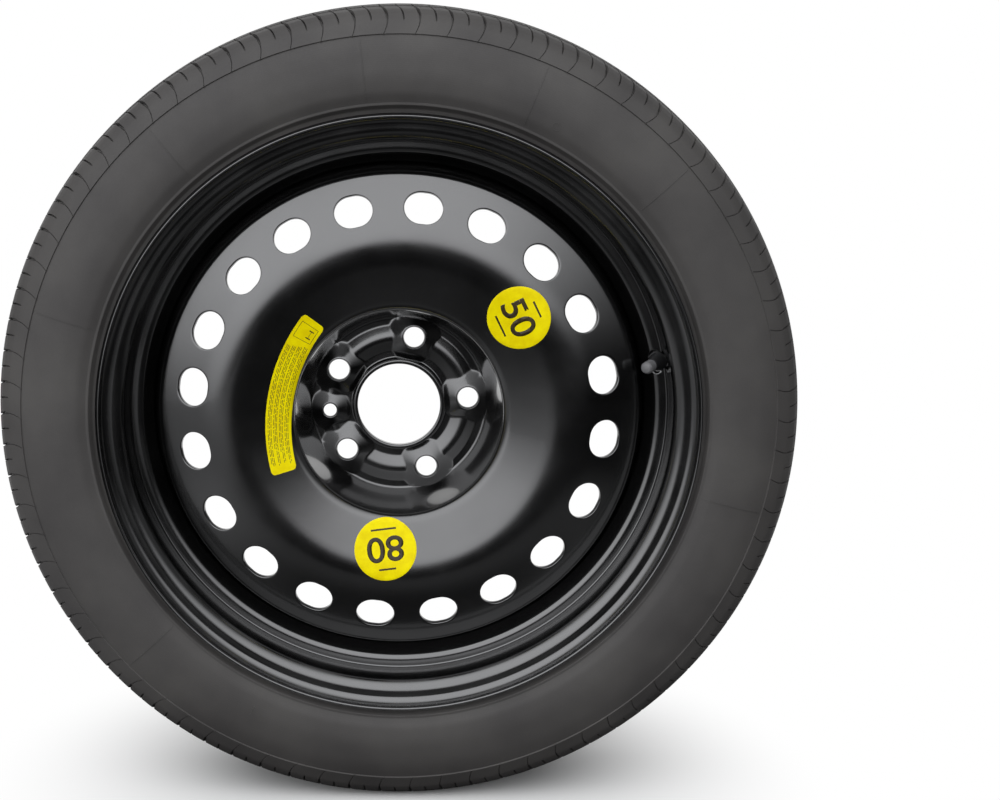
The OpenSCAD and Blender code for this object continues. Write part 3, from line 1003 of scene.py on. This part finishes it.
    def grid_angles(self, r: np.ndarray) -> np.ndarray:
        """Column angles in radians at each radius: by the bolts inside, by the vents outside."""
        hub = math.radians(self.bolt_phase) + np.arange(self.columns) * 2 * math.pi / self.columns
        per_vent = self.columns // self.vent_count
        angles = self.vent_angles()
        spread, patch = self.vent_spread, 14
        vent = []
        for a, b in zip(angles, angles[1:] + [angles[0] + 360]):
            vent += list(np.linspace(a - spread, a + spread, patch + 1))
            vent += list(np.linspace(a + spread, b - spread, per_vent - patch + 1)[1:-1])
        vent_row = np.radians(np.array(vent))
        lag = int(round(math.degrees(vent_row[0]) - self.bolt_phase))
        hub_row = np.roll(hub, -lag)
        hub_row[-lag:] += 2 * math.pi
        share = np.clip((r - 84) / (self.vent_rows[0] - 88), 0, 1)
        share = (share * share * (3 - 2 * share))[:, None]
        return hub_row[None, :] * (1 - share) + vent_row[None, :] * share

    def face(self, skin: Skin, path: Section, drop: float, holes: list[list[Punch]],
             sink_way: int) -> tuple[list[np.ndarray], list[np.ndarray]]:
        """Builds one face of the sheet with its holes patched in.

        Args:
            skin: Skin that takes the face.
            path: Section of the face.
            drop: How far it lies behind the outboard face.
            holes: Hub holes and vents.
            sink_way: 1 where holes sink inboard from this face, -1 where outboard.

        Returns:
            The face's rings, and the deepest ring of each hole.
        """
        rows, hub_span, vent_span = self.rows(path)
        angles = self.grid_angles(rows[:, 0])
        z = self.lifted(rows[:, :1], angles, np.broadcast_to(rows[:, 1:], angles.shape), drop)
        rings = [skin.add(about_axle(r, angles[i], z[i])) for i, r in enumerate(rows[:, 0])]
        open_cells = np.zeros((len(rows) - 1, self.columns), bool)
        ends = []
        for span, group in zip((hub_span, vent_span), holes):
            for hole in group:
                around = angles[span[0]]
                middle = math.radians(hole.angle)
                off = np.degrees((around - middle + math.pi) % (2 * math.pi) - math.pi)
                cols = np.flatnonzero(np.abs(off) < hole.spread + 0.05)
                cols = cols[np.argsort(off[cols])]
                i0, i1 = span
                if group is holes[0] and hole.spread < 10:
                    i0, i1 = i0 + self.pin_trim[0], i1 - self.pin_trim[1]
                open_cells[i0:i1, cols[:-1]] = True
                edge = [(i0, c) for c in cols[:-1]] + [(i, cols[-1]) for i in range(i0, i1)]
                edge += [(i1, c) for c in cols[:0:-1]] + [(i, cols[0]) for i in range(i1, i0, -1)]
                ends.append(self.patch(skin, rings, rows, angles, edge, hole, path, drop, sink_way))
        for i, (a, b) in enumerate(zip(rings, rings[1:])):
            a2, b2 = np.roll(a, -1), np.roll(b, -1)
            keep = ~open_cells[i]
            skin.faces += np.stack([a, a2, b2, b], axis=1)[keep].tolist()
        return rings, ends

    def patch(self, skin: Skin, rings: list[np.ndarray], rows: Section, angles: np.ndarray,
              edge: list[tuple[int, int]], hole: Punch, path: Section, drop: float,
              sink_way: int) -> np.ndarray:
        """Fills the opening round one hole with rings that shrink to its outline."""
        numbers = np.array([rings[i][c] for i, c in edge])
        r = np.array([rows[i, 0] for i, c in edge])
        q = np.array([angles[i, c] for i, c in edge])
        back_shift = drop * math.sin(math.radians(hole.tilt))
        middle = math.radians(hole.angle)
        tilt = math.cos(math.radians(hole.tilt))
        up = (r * np.cos(q - middle) - hole.radius + back_shift) / tilt
        side = r * np.sin(q - middle)
        heading = np.arctan2(side, up)
        profile = hole.front if sink_way > 0 else hole.back
        goal_up, goal_side = hole.outline(profile[0][0], heading)
        last = numbers
        layers = 5
        for k in range(1, layers + 1):
            s = 1 - (1 - k / layers) ** 1.3
            u, v = up + (goal_up - up) * s, side + (goal_side - side) * s
            last = self.ring(skin, last, hole, u, v, 0, path, drop, back_shift)
        for reach, sink in profile[1:]:
            u, v = hole.outline(reach, heading)
            last = self.ring(skin, last, hole, u, v, sink * sink_way, path, drop, back_shift)
        return last

    def ring(self, skin: Skin, last: np.ndarray, hole: Punch, up: np.ndarray, side: np.ndarray,
             sink: float, path: Section, drop: float, back_shift: float) -> np.ndarray:
        """Adds one ring of a hole's patch and joins it to the last."""
        tilt = math.radians(hole.tilt)
        x = hole.radius - back_shift + up * math.cos(tilt)
        r, q = np.hypot(x, side), math.radians(hole.angle) + np.arctan2(side, x)
        z = self.lifted(r, q, self.height(path, r), drop)
        points = about_axle(r, q, z)
        way = about_axle(math.sin(tilt), math.radians(hole.angle), math.cos(tilt))
        here = skin.add(points - way * sink)
        skin.strip(last, here)
        return here

    def build(self) -> bpy.types.Object:
        """Builds the disc as one closed skin."""
        skin = Skin()
        hub, vents = self.punches()
        front, front_ends = self.face(skin, self.front, 0.0, [hub, vents], 1)
        back, back_ends = self.face(skin, self.back, self.sheet, [hub, vents], -1)
        for a, b in zip(front_ends, back_ends):
            skin.strip(a, b)
        angles = self.grid_angles(np.array([self.bore_r, self.rim_r]))
        last = front[0]
        for r, z in ((self.bore_r + self.sheet - 0.2, self.lip_z + 0.45),
                     (self.bore_r + self.sheet - 0.8, self.lip_z + 0.8),
                     (self.bore_r + 0.8, self.lip_z + 0.8), (self.bore_r + 0.2, self.lip_z + 0.45)):
            here = skin.add(about_axle(r, angles[0], z))
            skin.strip(last, here)
            last = here
        skin.strip(last, back[0])
        skin.strip(front[-1], back[-1])
        return skin.piece("pressed_disc", sharp=40)

    def on_slope(self, x: np.ndarray, y: np.ndarray) -> tuple[Points, Points]:
        """Points and outward normals of the outboard face at places seen from the front."""
        r, q = np.hypot(x, y), np.arctan2(y, x)
        z = self.height(self.front, r)
        slope = (self.height(self.front, r + 1) - self.height(self.front, r - 1)) / 2
        up = about_axle(-slope, q, np.ones_like(slope))
        return about_axle(r, q, z), up / np.linalg.norm(up, axis=-1, keepdims=True)


@dataclass
class WeldRuns:
    """Rippled weld runs between the disc's flange and the rim's well."""

    count: int = 8
    start: float = 10.0
    sweep: float = 25.0
    at: tuple[float, float] = (194.2, -13.4)
    bead_r: float = 2.6
    ripple_mm: float = 2.2

    def build(self) -> bpy.types.Object:
        """Builds all the runs as one piece."""
        skin = Skin()
        steps = 90
        around = np.arange(10) * 2 * math.pi / 10
        for k in range(self.count):
            rings = []
            for i in range(steps + 1):
                along = i / steps
                q = math.radians(self.start + k * 360 / self.count + self.sweep * along)
                length = math.radians(self.sweep) * self.at[0] * along
                wave = 0.16 * math.cos(2 * math.pi * length / self.ripple_mm)
                end = min(1.0, 12 * along + 0.25, 12 * (1 - along) + 0.25)
                size = self.bead_r * end + wave * end
                rings.append(skin.add(about_axle(self.at[0] + size * np.cos(around), q,
                                                 self.at[1] + size * np.sin(around))))
            for a, b in zip(rings, rings[1:]):
                skin.strip(a, b)
            skin.faces += [tuple(rings[0].tolist()), tuple(rings[-1].tolist())]
        return skin.piece("weld_runs", sharp=60)


# Valve


@dataclass
class Valve:
    """The snap-in valve: rubber body, threaded brass end and ribbed cap."""

    seat: ValveSeat
    stem: float = 15.0
    tip: float = 9.5
    thread_r: float = 3.85
    cap_r: float = 4.85

    def body(self) -> bpy.types.Object:
        """Rubber body with its collar and tapering stem."""
        loop = fillet([(2.6, -12, 0), (6, -12, 0.8), (8, -8.5, 1.2), (8, -5, 1), (5.65, -3, 0.3),
                       (5.65, 0, 0.1), (7.3, 0.1, 0.3), (7.3, 1.6, 0.7), (6.2, 4.2, 2.5),
                       (5.4, 10, 8), (4.9, self.stem - 0.6, 0.5), (4.3, self.stem, 0.2),
                       (2.6, self.stem, 0)], step=12)
        return lathe(loop, all_round(64), self.seat.place).piece("valve_body")

    def tube(self) -> bpy.types.Object:
        """Brass barrel with its outside thread."""
        top = self.stem + self.tip
        pitch, depth = 0.8, 0.32
        angles = all_round(48)
        heights = np.arange(self.stem + 0.8, top - 0.7, 0.12)
        skin = Skin()
        plain = fillet([(2.0, top - 0.2, 0), (2.0, 8.5, 0.1), (1.5, 8.0, 0.1), (1.5, -12, 0),
                        (2.6, -12, 0), (2.6, self.stem, 0), (self.thread_r - depth, self.stem, 0)])
        rows = [skin.add(self.seat.place(r, angles, h)) for r, h in plain]
        for h in heights:
            turn = ((h - self.stem) / pitch - angles / (2 * math.pi)) % 1
            ridge = np.clip(1.6 * (1 - np.abs(2 * turn - 1)) - 0.3, 0, 1)
            fade = min(1, (h - heights[0]) / 0.6, (heights[-1] - h) / 0.6)
            radius = self.thread_r - depth + depth * ridge * fade
            rows.append(skin.add(self.seat.place(radius, angles, h)))
        rows.append(skin.add(self.seat.place(self.thread_r - depth, angles, top - 0.5)))
        rows.append(skin.add(self.seat.place(self.thread_r - 0.6, angles, top)))
        rows.append(skin.add(self.seat.place(2.3, angles, top)))
        for a, b in zip(rows, rows[1:] + rows[:1]):
            skin.strip(a, b)
        return skin.piece("valve_barrel", sharp=50)

    def cap(self) -> bpy.types.Object:
        """Screw cap with ribs for the fingers and a domed end."""
        roof = self.stem + self.tip + 0.6
        inner = self.thread_r + 0.05
        skirt = self.stem + 0.2
        profile = fillet([(inner, skirt, 0), (self.cap_r - 0.3, skirt, 0.1),
                          (self.cap_r, skirt + 0.5, 0.3), (self.cap_r, roof - 1.2, 1.0),
                          (self.cap_r - 1.3, roof + 1.2, 1.6), (0.0, roof + 1.9, 0)], step=8)
        profile = spaced(profile, 0.7)
        inside = np.array([(0.0, roof), (inner, roof), (inner, skirt)])
        angles = all_round(120)
        skin = Skin()
        rows = []
        for r, h in np.vstack([profile, inside]):
            ribbed = skirt + 0.9 < h < roof - 1.4 and r > self.cap_r - 0.1
            radius = r - (0.16 * (0.5 - 0.5 * np.cos(20 * angles)) if ribbed else 0)
            rows.append(skin.add(self.seat.place(radius, angles if r > 0 else angles[:1], h)))
        for a, b in zip(rows, rows[1:]):
            if len(a) == len(b):
                skin.strip(a, b)
            elif len(a) > 1 or len(b) > 1:
                skin.fan(b if len(a) == 1 else a, int((a if len(a) == 1 else b)[0]))
        return skin.piece("valve_cap_ribbed", sharp=45)


# Vinyl


# Heights over the disc of a sticker's underside and face, in millimetres
GLUE = 0.03
FACE = GLUE + 0.2
# Heights over the disc of the ink's underside and top
INK_SPAN = (FACE - 0.05, FACE + 0.02)


@dataclass
class RoundSticker:
    """A round sticker with a plain number, laid on the disc's slope.

    Attributes:
        disc: The disc that carries it.
        at: Its middle, seen from the front.
        number: The number printed on it.
        turn: How far the print is turned, degrees.
        rules: Length of the printed rules above and below the number.
    """

    disc: WheelDisc
    at: tuple[float, float]
    number: str
    turn: float
    rules: tuple[float, float]
    radius: float = 24.7
    digits: tuple[float, float] = (29.5, 20.0)

    def local(self, u: np.ndarray, v: np.ndarray) -> tuple[Points, Points]:
        """Points and normals of places given along and across the print."""
        q = math.radians(self.turn)
        return self.disc.on_slope(self.at[0] + u * math.cos(q) - v * math.sin(q),
                                  self.at[1] + u * math.sin(q) + v * math.cos(q))

    def build(self, name: str) -> bpy.types.Object:
        """Builds the vinyl."""
        skin = Skin()
        angles = all_round(96)
        last = None
        for side in (1, -1):
            radii = np.append(np.linspace(0.0, self.radius - 0.15, 12), self.radius)
            for k, rho in enumerate(radii if side > 0 else radii[::-1]):
                q = angles[:1] if rho == 0 else angles
                at, up = self.local(rho * np.cos(q), rho * np.sin(q))
                high = FACE if side > 0 else GLUE
                if side > 0 and rho == self.radius:
                    high -= 0.06
                here = skin.add(at + up * high)
                if last is not None and len(last) != len(here):
                    skin.fan(here if len(last) == 1 else last,
                             int((last if len(last) == 1 else here)[0]))
                elif last is not None and len(here) > 1:
                    skin.strip(last, here)
                last = here
        return skin.piece(name, sharp=50)

    def printing(self, name: str) -> bpy.types.Object:
        """Builds the printed number as a thin film of ink."""
        text = bpy.data.curves.new(name + "_type", "FONT")
        text.body = self.number
        text.offset = 0.014
        holder = bpy.data.objects.new(name + "_type", text)
        bpy.context.scene.collection.objects.link(holder)
        bpy.context.view_layer.update()
        final = holder.evaluated_get(bpy.context.evaluated_depsgraph_get())
        flat = bpy.data.meshes.new_from_object(final)
        bpy.data.objects.remove(holder)
        work = bmesh.new()
        work.from_mesh(flat)
        low = [min(v.co[i] for v in work.verts) for i in (0, 1)]
        high = [max(v.co[i] for v in work.verts) for i in (0, 1)]
        for v in work.verts:
            for i in (0, 1):
                share = (v.co[i] - low[i]) / (high[i] - low[i])
                v.co[i] = (share - 0.5) * self.digits[i]
        for axis, span in ((0, self.digits[0]), (1, self.digits[1])):
            for cut in np.arange(-span / 2 + 2.5, span / 2, 2.5):
                place, normal = [0.0] * 3, [0.0] * 3
                place[axis], normal[axis] = float(cut), 1.0
                bmesh.ops.bisect_plane(work, geom=work.verts[:] + work.edges[:] + work.faces[:],
                                       plane_co=place, plane_no=normal)
        bmesh.ops.remove_doubles(work, verts=work.verts[:], dist=1e-4)
        thick = bmesh.ops.extrude_face_region(work, geom=work.faces[:])
        lifted = {v for v in thick["geom"] if isinstance(v, bmesh.types.BMVert)}
        for v in work.verts:
            at, up = self.local(np.array([v.co.x]), np.array([v.co.y]))
            v.co = (at[0] + up[0] * INK_SPAN[v in lifted]) * MM
        bmesh.ops.recalc_face_normals(work, faces=work.faces)
        mesh = bpy.data.meshes.new(name)
        work.to_mesh(mesh)
        work.free()
        bpy.data.meshes.remove(flat)
        made = bpy.data.objects.new(name, mesh)
        bpy.context.scene.collection.objects.link(made)
        return made

    def bars(self, name: str) -> bpy.types.Object:
        """Builds the plain rules printed above and below the number."""
        skin = Skin()
        for way, length in ((1, self.rules[0]), (-1, self.rules[1])):
            u = np.linspace(-length / 2, length / 2, 12)
            at, up = self.local(u, np.full(12, way * 15.6))
            skin.box_along(at, up, 1.5, *INK_SPAN)
        return skin.piece(name)


@dataclass
class LongLabel:
    """The long bent label: boxed end and lines of fine print, drawn as plain dashes."""

    disc: WheelDisc
    centre: tuple[float, float] = (43.0, -10.3)
    inner: float = 128.0
    outer: float = 148.0
    start: float = 142.0
    end: float = 195.0
    corner: float = 3.0

    def local(self, rho: np.ndarray, q: np.ndarray) -> tuple[Points, Points]:
        """Points and normals of places given about the label's own centre."""
        q = np.radians(q)
        return self.disc.on_slope(self.centre[0] + rho * np.cos(q),
                                  self.centre[1] + rho * np.sin(q))

    def build(self) -> bpy.types.Object:
        """Builds the vinyl with rounded corners."""
        skin = Skin()
        rhos = np.linspace(self.inner, self.outer, 21)
        tops, unders = [], []
        for rho in rhos:
            d = max(0.0, self.corner - min(rho - self.inner, self.outer - rho))
            trim = math.degrees((self.corner - math.sqrt(self.corner ** 2 - d ** 2)) / rho)
            q = np.linspace(self.start + trim, self.end - trim, 70)
            at, up = self.local(np.full(70, rho), q)
            tops.append(skin.add(at + up * FACE))
            unders.append(skin.add(at + up * GLUE))
        for rows in (tops, unders):
            for a, b in zip(rows, rows[1:]):
                skin.strip(a, b, closed=False)
        for k in (0, -1):
            skin.strip(tops[k], unders[k], closed=False)
            skin.strip(np.array([row[k] for row in tops]), np.array([row[k] for row in unders]),
                       closed=False)
        return skin.piece("long_label", sharp=50)

    def printing(self) -> bpy.types.Object:
        """Builds the print: a box at the upper end and dashed lines below it."""
        skin = Skin()
        rng = np.random.default_rng(7)

        def stroke(rho: np.ndarray, q: np.ndarray, width: float) -> None:
            """Adds one printed stroke."""
            at, up = self.local(rho, q)
            skin.box_along(at, up, width, *INK_SPAN)

        box_q, box_r = (144.2, 149.6), (self.inner + 2.6, self.outer - 2.6)
        for q in box_q:
            stroke(np.linspace(*box_r, 8), np.full(8, q), 0.35)
        for rho in box_r:
            stroke(np.full(10, rho), np.linspace(*box_q, 10), 0.35)
        for q in (145.6, 148.2):
            stroke(np.linspace(box_r[0] + 2, box_r[0] + 6, 4), np.full(4, q), 0.9)
        stroke(np.full(6, box_r[0] + 4), np.linspace(145.6, 148.2, 6), 0.35)
        for group in range(4):
            for row in range(3):
                rho = self.inner + 2.6 + group * 4.35 + row * 1.15
                q = 151.2 + 0.5 * group + rng.uniform(0, 0.3)
                stop = 192.6 - rng.uniform(0, 0.8) - (6 * rng.random() if row == 2 else 0)
                while q < stop:
                    length = rng.uniform(0.6, 2.6)
                    last = min(q + length, stop)
                    if last - q > 0.4:
                        stroke(np.full(4, rho), np.linspace(q, last, 4), 0.42)
                    q = last + 0.42
        return skin.piece("long_label_print")


# Studio


@dataclass
class Studio:
    """Camera, sky and floor.

    The camera and what shines like a mirror see a white background. All else is lit by a
    soft sky that is brightest high in front, and by the floor's painted light and shade: to
    the light the floor is pale at the left and dark near the wheel.
    """

    distance: float = 1.5
    elevation: float = 10.59
    aim_up: float = 0.17
    lens: float = 66.92
    shift: float = 0.101
    floor_z: float = -0.3145
    floor_r: float = 2.4
    floor_colour: str = "#f4f4f2"
    bright_way: tuple[float, float, float] = (-0.2, -0.75, 0.63)

    def camera(self) -> None:
        """Sets the camera where the photograph was taken from."""
        data = bpy.data.cameras.new("camera")
        data.lens, data.shift_x = self.lens, self.shift
        made = bpy.data.objects.new("camera", data)
        q = math.radians(self.elevation)
        made.location = (0, -self.distance * math.cos(q), self.distance * math.sin(q))
        made.rotation_euler = (math.radians(90 - self.elevation + self.aim_up), 0, 0)
        bpy.context.scene.collection.objects.link(made)
        bpy.context.scene.camera = made

    def seen_white(self, tree: bpy.types.NodeTree, behind: bpy.types.Node) -> bpy.types.Node:
        """Where the white background shows: to the camera, and behind the wheel in gloss.

        Args:
            tree: Node tree of the world or the floor.
            behind: Node that gives 1 behind the wheel and 0 in front of it.

        Returns:
            The node that gives the share of white.
        """
        path = add_node(tree, "ShaderNodeLightPath")
        gloss = add_node(tree, "ShaderNodeMath", {
            0: path.outputs["Is Glossy Ray"], 1: path.outputs["Is Transmission Ray"]},
            operation="ADD", use_clamp=True)
        mirrored = add_node(tree, "ShaderNodeMath", {0: gloss, 1: behind}, operation="MULTIPLY")
        return add_node(tree, "ShaderNodeMath", {0: path.outputs["Is Camera Ray"], 1: mirrored},
                        operation="ADD", use_clamp=True)

    def floor(self) -> None:
        """Lays a pale floor that keeps the wheel's shadow and fades into the background."""
        skin = Skin()
        rings = [skin.add(about_axle(0, 0, 0))]
        angles = all_round(96)
        for r in np.geomspace(60, self.floor_r / MM, 12):
            rings.append(skin.add(np.stack([r * np.cos(angles), r * np.sin(angles),
                                            np.zeros(96)], axis=1)))
        skin.fan(rings[1], 0)
        for a, b in zip(rings[1:], rings[2:]):
            skin.strip(a, b)
        made = skin.piece("floor")
        made.location.z = self.floor_z
        if made.data.polygons[0].normal.z < 0:
            made.data.flip_normals()
        made.data.materials.append(self.painted_light_floor())

    def painted_light_floor(self) -> bpy.types.Material:
        """Floor: pale to the camera, and to the light a painted light and shade.

        To the light the floor is pale at the left, as painted light, and dark under the wheel and
        far from it, as painted shade, with a ring round the wheel a little lighter.
        """
        made = bpy.data.materials.new("floor_with_painted_light_and_shade")
        made.use_nodes = True
        tree = made.node_tree
        tree.nodes.clear()
        where = add_node(tree, "ShaderNodeTexCoord").outputs["Object"]
        axes = add_node(tree, "ShaderNodeSeparateXYZ", {0: where})
        far = add_node(tree, "ShaderNodeVectorMath", {0: where}, operation="LENGTH")
        fade = add_node(tree, "ShaderNodeMapRange", {
            "Value": far.outputs["Value"], "From Min": 0.1, "From Max": 0.36},
            interpolation_type="SMOOTHSTEP")
        # Painted light: to the light the floor is pale at the left, standing in for light from that
        # side.
        left = add_node(tree, "ShaderNodeMapRange", {
            "Value": axes.outputs["X"], "From Min": -0.12, "From Max": -0.55, "To Max": 0.36},
            interpolation_type="SMOOTHSTEP")
        # Painted shade: to the light the floor is dark under the wheel, a little lighter round it
        # and darker still far out.
        inner = add_node(tree, "ShaderNodeMapRange", {
            "Value": far.outputs["Value"], "From Min": 0.15, "From Max": 0.45, "To Min": 0.05,
            "To Max": 0.14}, interpolation_type="SMOOTHSTEP")
        outer = add_node(tree, "ShaderNodeMapRange", {
            "Value": far.outputs["Value"], "From Min": 0.55, "From Max": 0.85, "To Min": 1.0,
            "To Max": 0.15}, interpolation_type="SMOOTHSTEP")
        close = add_node(tree, "ShaderNodeMath", {0: inner, 1: outer}, operation="MULTIPLY")
        both = add_node(tree, "ShaderNodeMath", {0: left, 1: close}, operation="ADD")
        grey = add_node(tree, "ShaderNodeCombineXYZ", {0: both, 1: both, 2: both})
        # The floor's colour to the light, which holds the painted light and shade; the camera sees
        # the pale paint instead.
        painted_light_and_shade = add_node(tree, "ShaderNodeBsdfDiffuse", {"Color": grey})
        pale = add_node(tree, "ShaderNodeBsdfDiffuse", {"Color": linear(self.floor_colour)})
        white = add_node(tree, "ShaderNodeEmission", {"Color": (1, 1, 1, 1)})
        shown = add_node(tree, "ShaderNodeMixShader", {0: fade, 1: pale, 2: white})
        behind = add_node(tree, "ShaderNodeMapRange", {
            "Value": axes.outputs["Y"], "From Min": 0.1, "From Max": 0.4})
        paint = add_node(tree, "ShaderNodeMixShader", {
            0: self.seen_white(tree, behind), 1: painted_light_and_shade, 2: shown})
        add_node(tree, "ShaderNodeOutputMaterial", {"Surface": paint})
        return made

    def sky(self) -> None:
        """Lights the scene with a soft sky, brightest high in front."""
        world = bpy.data.worlds.new("soft_sky")
        world.use_nodes = True
        tree = world.node_tree
        tree.nodes.clear()
        look = add_node(tree, "ShaderNodeTexCoord").outputs["Generated"]
        axes = add_node(tree, "ShaderNodeSeparateXYZ", {0: look})
        toward = add_node(tree, "ShaderNodeVectorMath", {0: look, 1: self.bright_way},
                          operation="DOT_PRODUCT")
        front = add_node(tree, "ShaderNodeMapRange", {
            "Value": toward.outputs["Value"], "From Min": 0.35, "From Max": 0.95,
            "To Min": 0.15, "To Max": 2.1}, interpolation_type="SMOOTHSTEP")
        # The horizon lies lower at the left, where low light comes in.
        dip = add_node(tree, "ShaderNodeMapRange", {
            "Value": axes.outputs["X"], "From Min": 0.0, "From Max": -1.0, "To Max": 0.5})
        height = add_node(tree, "ShaderNodeMath", {0: axes.outputs["Z"], 1: dip}, operation="ADD")
        over = add_node(tree, "ShaderNodeMapRange", {
            "Value": height, "From Min": -0.05, "From Max": 0.19, "To Min": 0.03},
            interpolation_type="SMOOTHSTEP")
        level = add_node(tree, "ShaderNodeMath", {0: front, 1: over}, operation="MULTIPLY")
        light = add_node(tree, "ShaderNodeBackground", {
            "Color": linear("#fbfcff"), "Strength": level})
        white = add_node(tree, "ShaderNodeBackground", {"Color": (1, 1, 1, 1)})
        behind = add_node(tree, "ShaderNodeMapRange", {
            "Value": axes.outputs["Y"], "From Min": 0.5, "From Max": 0.8})
        both = add_node(tree, "ShaderNodeMixShader", {
            0: self.seen_white(tree, behind), 1: light, 2: white})
        add_node(tree, "ShaderNodeOutputWorld", {"Surface": both})
        bpy.context.scene.world = world
        bpy.context.scene.view_settings.view_transform = "Standard"

    def build(self) -> None:
        """Sets up the whole studio."""
        self.camera()
        self.floor()
        self.sky()


def main() -> None:
    """Builds every piece in order and reports each one."""
    logging.basicConfig(level=logging.INFO, format="%(message)s")
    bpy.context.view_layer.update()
    Studio().build()
    low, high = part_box("tyre")
    fit = BeadFit()
    tyre = Tyre(outer_r=high.z / MM, half_w=high.y / MM, fit=fit)
    settle(tyre.build(), Palette.TYRE.value, WHEEL, "tyre")
    settle(tyre.marks(), Palette.TYRE.value, WHEEL)
    seat = ValveSeat()
    settle(RimBand(seat, fit).build(), Palette.ENAMEL.value, WHEEL, "rim")
    disc = WheelDisc()
    settle(disc.build(), Palette.ENAMEL.value, WHEEL, "wheel_disc")
    settle(WeldRuns().build(), Palette.WELD.value, WHEEL, "weld_beads")
    valve = Valve(seat)
    settle(valve.body(), Palette.VALVE_RUBBER.value, WHEEL, "valve_rubber")
    settle(valve.tube(), Palette.BRASS.value, WHEEL, "valve_tube")
    settle(valve.cap(), Palette.CAP.value, CAP, "valve_cap")
    for node, finish in (("core_body", Palette.BRASS), ("core_pin", Palette.BRASS),
                         ("core_seal", Palette.VALVE_RUBBER), ("cap_seal", Palette.VALVE_RUBBER)):
        finish.value.on(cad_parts[node])
        LOG.info("%s: dressed in place", node)
    upper = RoundSticker(disc, (93, 77.6), "50", -64, (13.6, 18.0))
    lower = RoundSticker(disc, (-10.7, -108.2), "80", 186.3, (13.6, 20.0))
    for sticker, node in ((upper, "sticker_upper"), (lower, "sticker_lower")):
        settle(sticker.build(node + "_vinyl"), Palette.YELLOW.value, WHEEL, node)
        settle(sticker.printing(node + "_number"), Palette.INK.value, WHEEL)
        settle(sticker.bars(node + "_rules"), Palette.INK.value, WHEEL)
    label = LongLabel(disc)
    settle(label.build(), Palette.YELLOW.value, WHEEL, "label_arc")
    settle(label.printing(), Palette.INK.value, WHEEL)
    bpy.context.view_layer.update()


if __name__ == "__main__":
    main()
